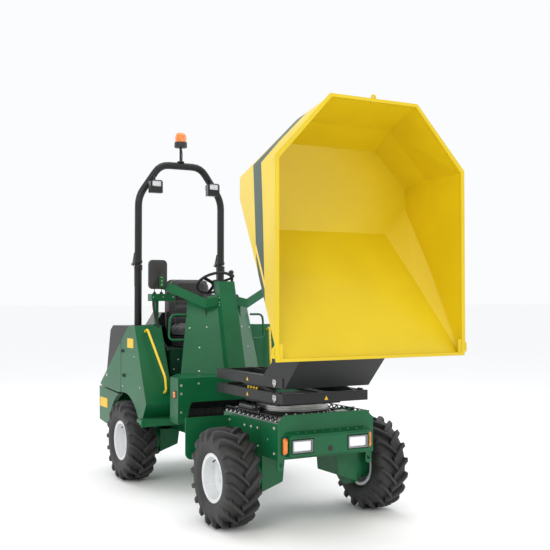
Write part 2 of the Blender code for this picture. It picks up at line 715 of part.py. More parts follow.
def arch_points(start_y, end_y, steps):
    """The wheel arch, from one y to another, as (y, z)."""
    centre = (WHEELBASE, TYRE_RADIUS)
    start = math.degrees(math.acos((start_y - WHEELBASE) / ARCH_RADIUS))
    end = math.degrees(math.acos((end_y - WHEELBASE) / ARCH_RADIUS))
    return arc(centre, ARCH_RADIUS, start, end, steps)


def build_rear():
    half = REAR_FRAME_HALF_WIDTH
    low, high = REAR_FRAME_Z
    bumper_front = 2.46
    wide_front = STEER_BASE[1] + 0.03
    beam = box((-half, wide_front, low), (half, bumper_front - SEAT_GAP, high))
    frame = add("rear_frame", beam, "green")
    nose = arc((0, ARTICULATION_Y), 0.075, 180, 360, 10) + [(0.075, 0.90), (-0.075, 0.90)]
    ear_z = STEER_Z - 0.045
    join(
        frame,
        box((-0.12, ARTICULATION_Y + 0.14, low), (0.12, wide_front + 0.01, high)),
        prism(nose, Z_AXIS, *NOSE_Z),
        box((STEER_BASE[0] - 0.04, STEER_BASE[1] - 0.03, ear_z), (STEER_BASE[0] + 0.04, wide_front + 0.01, ear_z + 0.02)),
        disc(STEER_BASE, 0.012, Z_AXIS, ear_z + 0.01, STEER_Z + 0.02, 16),
    )
    cut(frame, disc((0, ARTICULATION_Y), PIN_RADIUS + PIN_GAP, Z_AXIS, 0.4, 0.7))
    wheel_carrier("rear_wheel_carrier", WHEELBASE, low - SEAT_GAP, None)
    build_floor(high + SEAT_GAP)

    battery = box((-0.36, SEAT_FRONT_Y + 0.06, high + SEAT_GAP), (0.36, ROPS_Y - 0.05, SEAT_BOX_LOW_Z - SEAT_GAP))
    add("battery_block", battery, "grey")

    for name, sign in SIDES:
        outline = [(1.694, 1.392), (1.404, 0.731), (1.525, 0.541)]
        outline += arch_points(1.571, HOOD_SEAM_Y, 8)
        outline += [(HOOD_SEAM_Y, slant_z(HOOD_SEAM_Y)), (1.857, slant_z(1.857))]
        ends = sorted((sign * FENDER_INNER_X, sign * BODY_HALF_WIDTH))
        add(f"fender_{name}", prism(outline, 0, *ends), "green")

    top = [(bumper_front, 0.776), (REAR_END_Y, 0.787), (REAR_END_Y - 0.005, 0.466), (bumper_front, 0.445)]
    body = add("rear_body", prism(top, 0, -BODY_HALF_WIDTH, BODY_HALF_WIDTH), "green")
    pieces = []
    for _, sign in SIDES:
        side = [(bumper_front + 0.01, 0.4455), (2.379, 0.4455)] + arch_points(2.379, 2.108, 6)
        side += [(bumper_front + 0.01, 0.7762)]
        pieces.append(prism(side, 0, *sorted((sign * 0.66, sign * BODY_HALF_WIDTH))))
        lug = [(HOOD_HINGE[0] - 0.018, 0.77), (HOOD_HINGE[0] + 0.018, 0.77)] + arc(HOOD_HINGE, 0.018, 0, 180, 6)
        pieces.append(prism(lug, 0, *sorted((sign * 0.56, sign * 0.58))))
    join(body, *pieces)
    cut(body, disc(HOOD_HINGE, 0.010 + PIN_GAP, 0, -0.6, 0.6))


def build_floor(low):
    """The floor with its two steps, and the bulkhead that closes the driver's place in front."""
    floor_front = BULKHEAD_Y + SHEET + SEAT_GAP
    half = FENDER_INNER_X - SEAT_GAP
    floor = add("floor_plate", box((-half, floor_front, low), (half, SEAT_FRONT_Y + 0.05, FLOOR_TOP_Z)), "green")
    steps = []
    inner = BULKHEAD_HALF_WIDTH - SHEET - SEAT_GAP
    steps.append(box((-inner, floor_front, low), (inner, floor_front + 0.14, FLOOR_TOP_Z)))
    for _, sign in SIDES:
        ends = sorted((sign * 0.44, sign * 0.755))
        steps.append(box((ends[0], 1.37, 0.575), (ends[1], 1.480, low + 0.004)))
        steps.append(box((ends[0], 1.37, 0.545), (ends[1], 1.382, low)))
    join(floor, *steps)

    half, top_z = BULKHEAD_HALF_WIDTH, BULKHEAD_TOP_Z
    low_z = 0.61
    top = [(-half, BULKHEAD_Y), (half, BULKHEAD_Y), (half, BULKHEAD_Y + 0.17), (0.41, 1.42)]
    top += [(-0.41, 1.42), (-half, BULKHEAD_Y + 0.17)]
    bulkhead = add("bulkhead", prism(top, Z_AXIS, top_z - SHEET, top_z), "green")
    side_end = BULKHEAD_Y + 0.17
    join(
        bulkhead,
        box((-half, BULKHEAD_Y, low_z), (half, BULKHEAD_Y + SHEET, top_z - SHEET / 2)),
        box((-half, BULKHEAD_Y + SHEET / 2, low_z), (-half + SHEET, side_end, top_z - SHEET / 2)),
        box((half - SHEET, BULKHEAD_Y + SHEET / 2, low_z), (half, side_end, top_z - SHEET / 2)),
    )
    opening = [(0.51, low_z - 0.01), (0.51, low_z + 0.01), (0.475, 0.76), (0.455, 0.78)]
    opening += [(-x, z) for x, z in reversed(opening)]
    cut(bulkhead, prism(opening, Y_AXIS, BULKHEAD_Y - 0.01, BULKHEAD_Y + SHEET + 0.0001))


def hood_profile(inset):
    """Side outline of the hood's top and back, drawn in by the wall for its hollow."""
    top = [(1.90, 1.385 - inset), (2.455 - inset * 0.4, 1.378 - inset), (2.53 - inset, 1.33 - inset * 0.4)]
    return top + [(2.66 - inset, 0.83)]


def build_hood():
    outline = hood_profile(0) + [(2.64, 0.80), (2.56, 0.80), (2.055, slant_z(2.055) - 0.08)]
    outline += [(2.055, slant_z(2.055) + HOOD_GAP), (1.90, slant_z(1.90) + HOOD_GAP)]
    hood = add("hood", prism(outline, 0, -HOOD_HALF_WIDTH, HOOD_HALF_WIDTH), "black", HOOD)
    raised = [(-0.37, 1.30), (0.37, 1.30), (0.24, 1.50), (-0.24, 1.50)]
    join(hood, prism(raised, Y_AXIS, 2.20, 2.44))
    inner = HOOD_HALF_WIDTH - HOOD_WALL
    hollow = [(1.85, 1.385 - HOOD_WALL)] + hood_profile(HOOD_WALL)[1:] + [(2.64, 0.70), (1.85, 0.70)]
    dome = [(-0.35, 1.28), (0.35, 1.28), (0.228, 1.48), (-0.228, 1.48)]
    notch_in = ROPS_HALF_WIDTH - ROPS_TUBE_RADIUS - 0.014
    notch_out = ROPS_HALF_WIDTH + ROPS_TUBE_RADIUS + 0.014
    notch_end = ROPS_Y + ROPS_TUBE_RADIUS + 0.03
    cut(
        hood,
        prism(hollow, 0, -inner, inner),
        prism(dome, Y_AXIS, 2.22, 2.42),
        box((-notch_out, 1.80, 1.0), (-notch_in, notch_end, 1.6)),
        box((notch_in, 1.80, 1.0), (notch_out, notch_end, 1.6)),
        box((-notch_in - 0.001, 1.80, 1.0), (notch_in + 0.001, 2.20, 1.6)),
    )
    for _, sign in SIDES:
        low, high = sorted((sign * 0.55, sign * 0.59))
        cut(hood, box((low, HOOD_HINGE[0] - 0.05, 0.78), (high, REAR_END_Y, HOOD_HINGE[1] + 0.010)))
    join(hood, disc(HOOD_HINGE, 0.010, 0, -inner - 0.005, inner + 0.005))
    for name, sign in SIDES:
        low_y = HOOD_SEAM_Y + 0.010
        side = [(low_y, slant_z(low_y)), (2.638, slant_z(2.638)), (2.645, 0.812), (2.600, 0.797), (2.11, 0.772)]
        side += [(low_y, 0.784)]
        ends = sorted((sign * (HOOD_HALF_WIDTH + SEAT_GAP), sign * BODY_HALF_WIDTH))
        add(f"hood_side_{name}", prism(side, 0, *ends), "green", HOOD)


# --- roll-over bar -----------------------------------------------------------------------------


def build_rops():
    foot = box(
        (-ROPS_HALF_WIDTH - 0.035, ROPS_Y - 0.035, REAR_FRAME_Z[1] + SEAT_GAP),
        (ROPS_HALF_WIDTH + 0.035, ROPS_Y + 0.035, 0.61),
    )
    posts = add("rops_posts", foot, "black")
    shapes = []
    hinge = (ROPS_HINGE_Y, ROPS_FOLD_Z)
    back_y = ROPS_Y + ROPS_TUBE_RADIUS - 0.006
    for _, sign in SIDES:
        x = sign * ROPS_HALF_WIDTH
        shapes.append(tube([(x, ROPS_Y, 0.60), (x, ROPS_Y, ROPS_FOLD_Z - 0.008)], ROPS_TUBE_RADIUS, 16))
        plate = [(back_y, 1.72), (ROPS_HINGE_Y + 0.012, 1.75)] + arc(hinge, 0.018, 0, 120, 5)
        plate += [(back_y, ROPS_FOLD_Z - 0.01)]
        shapes.append(prism(plate, 0, x - 0.012, x + 0.012))
    join(posts, *shapes)
    corners = []
    for sign in (-1, 1):
        side = [(sign * ROPS_HALF_WIDTH, ROPS_Y, ROPS_FOLD_Z), (sign * ROPS_HALF_WIDTH, ROPS_Y, ROPS_BEND_Z)]
        side.append((sign * ROPS_TOP_HALF_WIDTH, ROPS_Y, ROPS_TOP_Z))
        corners += side if sign < 0 else reversed(side)
    hoop = add("rops_hoop", tube(rounded(corners, 0.09), ROPS_TUBE_RADIUS, 16, (0, 1, 0)), "black", HOOP)
    lugs = []
    for _, sign in SIDES:
        x = sign * ROPS_HALF_WIDTH
        for offset in (-0.0225, 0.0225):
            lug = [(back_y, ROPS_FOLD_Z + 0.11), (back_y, ROPS_FOLD_Z + 0.005)] + arc(hinge, 0.018, 225, 405, 7)
            lugs.append(prism(lug, 0, x + offset - 0.010, x + offset + 0.010))
    join(hoop, *lugs)
    lamp_z = 2.70
    for name, sign in SIDES:
        x = sign * 0.30
        face = [(x - 0.062, lamp_z - 0.055), (x + 0.062, lamp_z - 0.055)]
        face += [(x + 0.062, lamp_z + 0.055), (x - 0.062, lamp_z + 0.055)]
        lamp = add(f"work_light_{name}", prism(face, Y_AXIS, ROPS_Y - 0.13, ROPS_Y - 0.07), "black", HOOP)
        stalk = [(x, ROPS_Y - 0.09, lamp_z + 0.04), (x, ROPS_Y - 0.06, lamp_z + 0.10)]
        slope = (ROPS_TOP_Z - ROPS_BEND_Z) / (ROPS_HALF_WIDTH - ROPS_TOP_HALF_WIDTH)
        bar_z = ROPS_BEND_Z + (ROPS_HALF_WIDTH - abs(x)) * slope
        stalk.append((x, ROPS_Y - ROPS_TUBE_RADIUS - 0.0035, bar_z))
        join(lamp, tube(stalk, 0.010, 8))
    clamp_low = ROPS_TOP_Z + ROPS_TUBE_RADIUS + SEAT_GAP
    beacon = disc((0, ROPS_Y), 0.035, Z_AXIS, clamp_low, clamp_low + 0.012, 16)
    stem = add("beacon_stem", beacon, "black", HOOP)
    join(
        stem,
        disc((0, ROPS_Y), 0.012, Z_AXIS, clamp_low + 0.01, 3.13, 12),
        disc((0, ROPS_Y), 0.060, Z_AXIS, 3.125, 3.170, 24),
    )
    centre = Vector((0, ROPS_Y, 3.170 + SEAT_GAP))
    dome_rings = []
    for radius, height in ((0.056, 0.0), (0.058, 0.04), (0.052, 0.07), (0.036, 0.09), (0.012, 0.098)):
        ring = arc((0, 0), radius, 0, 360 - 15, 23)
        dome_rings.append([centre + Vector((x, y, height)) for x, y in ring])
    add("beacon", rings_to_solid(dome_rings), "amber", HOOP)


# --- driver's place ------------------------------------------------------------------------------


def console_front(z):
    """How far back the console's leaning front face is at this height."""
    return 1.06 + (z - BULKHEAD_TOP_Z) * (1.285 - 1.06) / (1.785 - BULKHEAD_TOP_Z)


def console_nose(low_z, high_z, grow=0.0):
    """The leaning column of the console, grown by a little when it's used as a cutter."""
    rings = []
    for z in (low_z, high_z):
        half = 0.082 - 0.006 * (z - BULKHEAD_TOP_Z) / (1.785 - BULKHEAD_TOP_Z) + grow
        front, back = console_front(z) - grow, console_front(z) + 0.10 + grow
        rings.append([Vector((-half, front, z)), Vector((half, front, z)), Vector((half, back, z)), Vector((-half, back, z))])
    return rings_to_solid(rings)


def console_wing(sign, grow=0.0):
    """A swept-back side sheet of the console, grown by a little when it's used as a cutter."""
    rings = []
    low_z = BULKHEAD_TOP_Z + SEAT_GAP
    for z, outer_x, outer_y, rise in ((low_z - grow, 0.385, 1.395, 0), (1.62 + grow, 0.287, 1.480, 0.05)):
        inner_y = console_front(z) + 0.075 - grow * 1.5
        outer = (sign * (outer_x + grow), outer_y - grow * 1.5)
        rings.append(
            [
                Vector((sign * 0.06, inner_y, z + rise)),
                Vector((*outer, z)),
                Vector((outer[0] - sign * SHEET * 0.6, outer[1] + SHEET + grow * 3, z)),
                Vector((sign * 0.06, inner_y + SHEET * 1.3 + grow * 3, z + rise)),
            ]
        )
    return rings_to_solid(rings)


def build_console():
    console = add("console", console_nose(BULKHEAD_TOP_Z + SEAT_GAP, 1.785), "green")
    for _, sign in SIDES:
        x, y = sign * 0.318, 1.447
        loop = [(x, y, 1.49), (sign * 0.455, y + 0.02, 1.49), (sign * 0.47, y + 0.02, 1.27), (sign * 0.336, y - 0.01, 1.27)]
        join(console, console_wing(sign), tube(rounded(loop, 0.05), 0.010, 8, (0, 1, 0)))
    dash = [(1.335, 1.30), (1.425, 1.42), (1.50, 1.58), (1.40, 1.67), (1.355, 1.62)]
    dashboard = add("dashboard", prism(dash, 0, -0.17, 0.17), "black")
    cut(dashboard, console_nose(1.25, 1.80, DASH_GAP), console_wing(-1, DASH_GAP), console_wing(1, DASH_GAP))
    axis = Vector((0, math.sin(WHEEL_TILT), math.cos(WHEEL_TILT)))
    centre = Vector(WHEEL_CENTRE)
    column = tube([centre - axis * 0.20, centre - axis * (0.035 + SEAT_GAP)], 0.028, 16)
    join(dashboard, column)
    rim = []
    side, ahead = Vector((1, 0, 0)), axis.cross(Vector((1, 0, 0)))
    steps = 32
    for step in range(steps):
        angle = 2 * math.pi * step / steps
        out = side * math.cos(angle) + ahead * math.sin(angle)
        section = arc((0, 0), 0.013, 0, 315, 7)
        rim.append([centre + out * (WHEEL_RADIUS - 0.013 + a) + axis * b for a, b in section])
    wheel = add("steering_wheel", rings_to_solid(rim, closed=True), "black", STEERING_WHEEL)
    hub = tube([centre - axis * 0.035, centre + axis * 0.012], 0.035, 16)
    spokes = []
    for angle in (90, 210, 330):
        out = side * math.cos(math.radians(angle)) + ahead * math.sin(math.radians(angle))
        flat = [(-0.016, -0.004), (0.016, -0.004), (0.016, 0.004), (-0.016, 0.004)]
        spokes.append(sweep([centre + out * 0.02 - axis * 0.012, centre + out * (WHEEL_RADIUS - 0.010)], flat, axis.cross(out)))
    join(wheel, hub, *spokes)
    for name, sign in SIDES:
        strip = [(-0.004, -0.038), (0.004, -0.038), (0.004, 0.038), (-0.004, 0.038)]
        start_x = 0.0776 + SEAT_GAP
        path = [(sign * start_x, 1.270, 1.610), (sign * 0.11, 1.270, 1.610), (sign * 0.20, 1.280, 1.590)]
        path.append((sign * 0.53, 1.410, 1.745))
        path += [(sign * 0.585, 1.43, 1.765)]
        mirror = add(f"mirror_{name}", sweep(path, strip, (0, 1, 0)), "green")
        x, y, z = sign * 0.60, 1.415, 1.84
        shell = rings_to_solid(
            [
                [Vector((x + a, y + depth, z + b)) for a, b in rounded_box(0.078 - inset, 0.118 - inset, 0.03)]
                for depth, inset in ((-0.03, 0.02), (-0.018, 0.004), (0.0, 0.0))
            ]
        )
        join(mirror, shell)


def rounded_box(half_width, half_height, radius):
    """Outline of a rectangle with round corners about its centre."""
    outline = []
    for x_sign, y_sign, start in ((1, 1, 0), (-1, 1, 90), (-1, -1, 180), (1, -1, 270)):
        corner = (x_sign * (half_width - radius), y_sign * (half_height - radius))
        outline += arc(corner, radius, start, start + 90, 3)
    return outline


def build_seat():
    seat_box = box((-0.375, SEAT_FRONT_Y, SEAT_BOX_LOW_Z), (0.375, 2.12, SEAT_BOX_TOP_Z))
    add("seat_box", seat_box, "dark_green")
    base = box((-0.20, 1.70, SEAT_BOX_TOP_Z + SEAT_GAP), (0.20, 2.05, 1.30 - SEAT_GAP))
    add("seat_base", base, "black")
    cushion = [(1.645, 1.31), (1.63, 1.36), (1.66, 1.395), (1.80, 1.385), (2.05, 1.375), (2.05, 1.30), (1.66, 1.30)]
    add("seat_cushion", prism(cushion, 0, -0.245, 0.245), "seat_cover")
    back_y = 2.05 + SEAT_GAP
    back = [(back_y, 1.30), (2.14, 1.30), (2.19, 1.60), (2.19, 1.80), (2.17, 1.83)]
    back += [(2.13, 1.83), (2.10, 1.70), (2.075, 1.50), (back_y, 1.38)]
    add("seat_back", prism(back, 0, -0.245, 0.245), "seat_cover")
    console = box((-0.53, 1.72, 1.610), (-0.31, 1.82, 1.675))
    lever = add("lever_console", console, "green")
    join(
        lever,
        box((-0.485, 1.745, 1.400), (-0.455, 1.785, 1.62)),
        box((-0.515, 1.72, 1.3914), (-0.455, 1.82, 1.404)),
    )
    for name, sign in SIDES:
        path = []
        stations = ((0.61, 1.34, SEAT_GAP), (0.61, 1.34, 0.06), (0.52, 0.92, 0.075), (0.52, 0.82, 0.05))
        for x, z, off in (*stations, (0.52, 0.82, SEAT_GAP)):
            y = 1.404 + (z - 0.731) * 0.4387
            path.append((sign * x, y - off * 0.9158, z + off * 0.4018))
        add(f"handrail_{name}", tube(rounded(path, 0.035), 0.011, 10), "yellow")


def build_steering_ram():
    """Barrel on the rear chassis, rod on the front yoke, lying level."""
    base, eye = STEER_BASE, STEER_EYE

    def spot(distance):
        x, y = along(base, eye, distance)
        return (x, y, STEER_Z)

    reach = math.dist(base, eye)
    barrel = add("steering_barrel", tube([spot(0.02), spot(0.34)], 0.0245, 16), "black", STEER_BARREL)
    join(barrel, disc(base, 0.0275, Z_AXIS, STEER_Z - 0.0245, STEER_Z + 0.020, 16))
    bore = 0.012 + PIN_GAP
    cut(barrel, tube([spot(0.05), spot(0.35)], 0.0145, 16), disc(base, bore, Z_AXIS, 0.5, 0.6, 16))
    rod = add("steering_rod", tube([spot(0.30), spot(reach - 0.015)], 0.0135, 16), "chrome", STEER_ROD)
    join(rod, disc(eye, 0.024, Z_AXIS, STEER_Z - 0.0245, STEER_Z + 0.018, 16))
    cut(rod, disc(eye, bore, Z_AXIS, 0.5, 0.6, 16))


clear_scene()
MACHINE = bpy.data.objects.new("machine", None)
MACHINE.location = (0, -LENGTH_MIDDLE_Y, 0)
bpy.context.scene.collection.objects.link(MACHINE)
(LOWER_FRONT, UPPER_REAR), (UPPER_FRONT, LOWER_REAR) = arm_ends()
SCISSOR_PIN = tuple((a + b) / 2 for a, b in zip(LOWER_FRONT, UPPER_REAR))
LIFT_EYE = along(SCISSOR_PIN, UPPER_FRONT, LIFT_EYE_REACH)
FRONT = pivot("articulation_axis", (0, ARTICULATION_Y, NOSE_Z[0]))
SLEW = pivot("slew_axis", (0, SLEW_Y, SLEW_BASE_TOP_Z))
LOWER_ARM = pivot("lower_arm_axis", (0, *LOWER_FRONT))
UPPER_ARM = pivot("scissor_axis", (0, *SCISSOR_PIN))
UPPER = pivot("upper_frame_axis", (0, *UPPER_FRONT))
SKIP = pivot("skip_axis", (0, *SKIP_PIVOT))
LIFT_BARREL = pivot("lift_base_axis", (0, *LIFT_BASE))
LIFT_ROD = pivot("lift_rod_axis", (0, *LIFT_EYE))
TIP_BARREL = pivot("tip_base_axis", (0, *TIP_BASE))
TIP_ROD = pivot("tip_rod_axis", (0, *TIP_EYE))
STEER_BARREL = pivot("steer_base_axis", (*STEER_BASE, STEER_Z))
STEER_ROD = pivot("steer_rod_axis", (*STEER_EYE, STEER_Z))
HOOD = pivot("hood_axis", (0, *HOOD_HINGE))
HOOP = pivot("rops_fold_axis", (0, ROPS_HINGE_Y, ROPS_FOLD_Z))
STEERING_WHEEL = pivot("steering_wheel_axis", WHEEL_CENTRE)
build_wheels()
build_front()
build_lift()
ram("lift_barrel", "lift_rod", LIFT_BASE, LIFT_EYE, LIFT_BARREL, LIFT_ROD, (0.42, 0.030, 0.016, 0.026, ARM_PIN_RADIUS))
ram("tip_barrel", "tip_rod", TIP_BASE, TIP_EYE, TIP_BARREL, TIP_ROD, (0.56, 0.035, 0.019, 0.036, 0.016))
build_skip()
build_rear()
build_hood()
build_rops()
build_console()
build_seat()
build_steering_ram()
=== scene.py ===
import math

import bmesh
import bpy
import numpy as np
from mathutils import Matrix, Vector
from mathutils.bvhtree import BVHTree


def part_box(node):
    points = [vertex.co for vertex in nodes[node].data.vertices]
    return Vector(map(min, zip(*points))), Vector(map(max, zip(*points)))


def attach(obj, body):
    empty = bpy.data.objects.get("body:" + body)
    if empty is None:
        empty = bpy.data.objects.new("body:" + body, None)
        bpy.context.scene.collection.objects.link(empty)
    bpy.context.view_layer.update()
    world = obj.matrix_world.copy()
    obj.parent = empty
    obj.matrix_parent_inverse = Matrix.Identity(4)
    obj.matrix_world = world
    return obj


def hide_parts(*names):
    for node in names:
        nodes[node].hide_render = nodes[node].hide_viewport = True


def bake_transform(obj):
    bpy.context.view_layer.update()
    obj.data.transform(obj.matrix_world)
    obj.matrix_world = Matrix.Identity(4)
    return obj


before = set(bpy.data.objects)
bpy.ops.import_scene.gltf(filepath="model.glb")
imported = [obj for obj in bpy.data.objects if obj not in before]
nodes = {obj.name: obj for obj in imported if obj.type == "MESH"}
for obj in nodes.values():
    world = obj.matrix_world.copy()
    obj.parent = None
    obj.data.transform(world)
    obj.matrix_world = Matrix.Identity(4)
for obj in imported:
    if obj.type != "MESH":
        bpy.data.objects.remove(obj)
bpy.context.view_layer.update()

frontAxle = (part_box("front_right_tyre")[0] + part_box("front_right_tyre")[1]) / 2
axleY = frontAxle.y  # drawings below measure y from the front axle
sides = ((-1, "right"), (1, "left"))
alongFront, alongRear, alongFloor = ((1, 0, 0), (0, 0, 1)), ((-1, 0, 0), (0, 0, 1)), ((1, 0, 0), (0, 1, 0))
print("frame loaded")


def at(x, y, z):  # a place measured from the front axle, moved into the shared frame
    return np.array([x, y + axleY, z], float)


def places(points):
    return np.array([at(*point) for point in points])


def gridFaces(rows, cols, closeRows=False):
    # quads between neighbours on a rows by cols grid, wrapped round each row and, if asked, each column
    r = np.arange(rows if closeRows else rows - 1)[:, None]
    c = np.arange(cols)[None, :]
    r2, c2 = (r + 1) % rows, (c + 1) % cols
    return np.stack([r * cols + c, r2 * cols + c, r2 * cols + c2, r * cols + c2], -1).reshape(-1, 4).tolist()


def loftRings(rings, closed=False):
    # equally long rings of points joined in order: the last joins the first, or each end gets a face
    rings = np.asarray(rings, float)
    rows, cols = rings.shape[:2]
    faces = gridFaces(rows, cols, closeRows=closed)
    if not closed:
        faces += [list(range(cols)), list(range((rows - 1) * cols, rows * cols))]
    return rings.reshape(-1, 3), faces


def joined(shapes):
    # several (points, faces) pairs as one, with the later faces counting on from the earlier points
    verts, faces, start = [], [], 0
    for points, polygons in shapes:
        verts.append(points)
        faces += [[index + start for index in polygon] for polygon in polygons]
        start += len(points)
    return np.concatenate(verts), faces


def outwardMesh(name, shapes):
    # the shapes as one mesh, with its faces turned outwards
    points, faces = joined(shapes)
    mesh = bpy.data.meshes.new(name)
    mesh.from_pydata(points.tolist(), [], faces)
    shell = bmesh.new()
    shell.from_mesh(mesh)
    bmesh.ops.recalc_face_normals(shell, faces=shell.faces)
    shell.to_mesh(mesh)
    shell.free()
    return mesh


def linked(name, data):
    made = bpy.data.objects.new(name, data)
    bpy.context.scene.collection.objects.link(made)
    return made


def piece(name, shapes, material, body, smooth=32, bevel=0.0):
    # a finished object, sharp past the smooth angle, riding on its body
    mesh = outwardMesh(name, shapes if isinstance(shapes, list) else [shapes])
    mesh.shade_smooth()
    mesh.set_sharp_from_angle(angle=math.radians(smooth))
    mesh.materials.append(material)
    made = linked(name, mesh)
    if bevel:
        rounding = made.modifiers.new("softEdges", "BEVEL")
        rounding.width, rounding.segments, rounding.limit_method = bevel, 2, "ANGLE"
    if body:
        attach(made, body)
    return made


def basis(normal):
    # two directions square to each normal, for every normal in the array
    n = np.asarray(normal, float).reshape(-1, 3)
    n = n / np.linalg.norm(n, axis=1, keepdims=True)
    helper = np.where(np.abs(n[:, 2:3]) > 0.9, [[1.0, 0, 0]], [[0, 0, 1.0]])
    u = np.cross(helper, n)
    u /= np.linalg.norm(u, axis=1, keepdims=True)
    return u, np.cross(n, u), n


def turned(profile, centre, axis, count=48, closed=False):
    # a profile of (along, radius) carried round the axis: centre + along*axis + radius*(cos u + sin v)
    profile = np.asarray(profile, float)
    u, v, n = basis(axis)
    angle = np.linspace(0, 2 * np.pi, count, endpoint=False)
    ring = np.cos(angle)[:, None] * u + np.sin(angle)[:, None] * v
    grid = np.asarray(centre) + profile[:, None, :1] * n[None] + profile[:, None, 1:] * ring[None]
    return loftRings(grid, closed)


def stamped(profile, centres, normals, sides=6, start=0.0):
    # one small turned shape repeated at many places, each with its own direction
    centres = np.asarray(centres, float).reshape(-1, 3)
    normals = np.broadcast_to(np.asarray(normals, float), centres.shape)
    u, v, n = basis(normals)
    profile = np.asarray(profile, float)
    angle = start + np.linspace(0, 2 * np.pi, sides, endpoint=False)
    ring = np.cos(angle)[None, :, None] * u[:, None] + np.sin(angle)[None, :, None] * v[:, None]
    along, out = profile[None, :, None, :1], profile[None, :, None, 1:]
    grid = centres[:, None, None] + along * n[:, None, None] + out * ring[:, None]
    rows = len(profile)
    block = gridFaces(rows, sides) + [list(range(sides)), list(range((rows - 1) * sides, rows * sides))]
    faces = [[i + k * rows * sides for i in face] for k in range(len(centres)) for face in block]
    return grid.reshape(-1, 3), faces


def bolts(centres, normals, radius=0.008, height=0.006):
    # a washer under a hexagon head with a broken edge
    washer = stamped([(0, radius * 1.5), (0.0015, radius * 1.5), (0.0015, radius * 0.5)], centres, normals, 14)
    head = stamped([(0.001, radius), (height * 0.8, radius), (height, radius * 0.82)], centres, normals, 6, 0.3)
    return [washer, head]


def domes(centres, normals, radius=0.008):
    # a round button head: half a flattened ball
    profile = [(0, 1), (0.35, 0.93), (0.62, 0.6), (0.7, 0.2)]
    return [stamped([(radius * along, radius * out) for along, out in profile], centres, normals, 14)]


def smoothLine(points, count):
    # a Catmull-Rom line through the points, sampled evenly in its parameter
    p = np.asarray(points, float)
    p = np.concatenate([2 * p[:1] - p[1:2], p, 2 * p[-1:] - p[-2:-1]])
    t = np.linspace(0, len(p) - 3 - 1e-9, count)
    k = t.astype(int)
    f = (t - k)[:, None]
    a, b, c, d = p[k], p[k + 1], p[k + 2], p[k + 3]
    return 0.5 * (2 * b + (c - a) * f + (2 * a - 5 * b + 4 * c - d) * f**2 + (3 * b - a - 3 * c + d) * f**3)


def swept(path, section):
    # a flat section (across, up) carried along a path, kept square to it by the least turning
    path = np.asarray(path, float)
    way = np.gradient(path, axis=0)
    way /= np.linalg.norm(way, axis=1, keepdims=True)
    first = np.cross(way[0], [0, 0, 1.0] if abs(way[0][2]) < 0.9 else [1.0, 0, 0])
    sideways = [first / np.linalg.norm(first)]
    for k in range(1, len(path)):
        s = sideways[-1] - way[k] * np.dot(sideways[-1], way[k])
        sideways.append(s / np.linalg.norm(s))
    across = np.array(sideways)
    up = np.cross(across, way)
    section = np.asarray(section, float)
    grid = path[:, None] + section[None, :, :1] * across[:, None] + section[None, :, 1:] * up[:, None]
    return loftRings(grid)


def roundSection(radius, sides=10):
    # radius * (cos, sin) for angles evenly round a circle
    angle = np.linspace(0, 2 * np.pi, sides, endpoint=False)
    return np.stack([np.cos(angle), np.sin(angle)], -1) * radius


def hose(points, radius, count=40, sides=10):
    # a round section carried along the smooth line through the points
    return swept(smoothLine(points, count), roundSection(radius, sides))


def rod(a, b, radius, sides=14):
    # a straight round bar from a to b
    return swept(np.linspace(a, b, 2), roundSection(radius, sides))


def roundedOutline(width, height, radius, steps=5):
    # a quarter circle at each corner: corner centre + radius * (cos, sin)
    corner = np.linspace(0, np.pi / 2, steps)
    out = []
    for sx, sy, turn in ((1, 1, 0), (-1, 1, 1), (-1, -1, 2), (1, -1, 3)):
        a = corner + turn * np.pi / 2
        x, y = sx * (width / 2 - radius) + radius * np.cos(a), sy * (height / 2 - radius) + radius * np.sin(a)
        out.append(np.stack([x, y], -1))
    return np.concatenate(out)


def slab(centre, across, up, width, height, depth, radius=0.01, edge=0.002):
    # a rounded rectangle stacked in four layers, the first and last drawn in for a soft edge
    across, up = np.asarray(across, float), np.asarray(up, float)
    across, up = across / np.linalg.norm(across), up / np.linalg.norm(up)
    out = np.cross(across, up)
    rings = []
    for level, inset in ((-depth / 2, edge), (-depth / 2 + edge, 0), (depth / 2 - edge, 0), (depth / 2, edge)):
        flat = roundedOutline(width - 2 * inset, height - 2 * inset, max(radius - inset, 0.0008))
        rings.append(np.asarray(centre) + flat[:, :1] * across + flat[:, 1:] * up + out * level)
    return loftRings(rings)


def panel(corners, thickness, normal):
    # a flat outline given a thickness along its normal
    corners = np.asarray(corners, float)
    offset = np.asarray(normal, float) / np.linalg.norm(normal) * thickness
    return loftRings([corners, corners + offset])


def nodeGroup(name, inputs, outputs):
    group = bpy.data.node_groups.new(name, "ShaderNodeTree")
    for label, kind, value in inputs:
        group.interface.new_socket(label, in_out="INPUT", socket_type=kind).default_value = value
    for label, kind in outputs:
        group.interface.new_socket(label, in_out="OUTPUT", socket_type=kind)
    return group, group.nodes.new("NodeGroupInput"), group.nodes.new("NodeGroupOutput")


def node(tree, kind, **settings):
    made = tree.nodes.new(kind)
    for key, value in settings.items():
        if key in made.inputs:
            made.inputs[key].default_value = value
        else:
            setattr(made, key, value)
    return made


def mathNode(tree, operation, a, b=None, clamp=False):
    made = tree.nodes.new("ShaderNodeMath")
    made.operation, made.use_clamp = operation, clamp
    for socket, value in zip(made.inputs, (a, b)):
        if isinstance(value, bpy.types.NodeSocket):
            tree.links.new(value, socket)
        elif value is not None:
            socket.default_value = value
    return made.outputs[0]


def mixColour(tree, factor, a, b):
    made = tree.nodes.new("ShaderNodeMix")
    made.data_type = "RGBA"
    for socket, value in ((made.inputs[0], factor), (made.inputs[6], a), (made.inputs[7], b)):
        if isinstance(value, bpy.types.NodeSocket):
            tree.links.new(value, socket)
        else:
            socket.default_value = value
    return made.outputs[2]


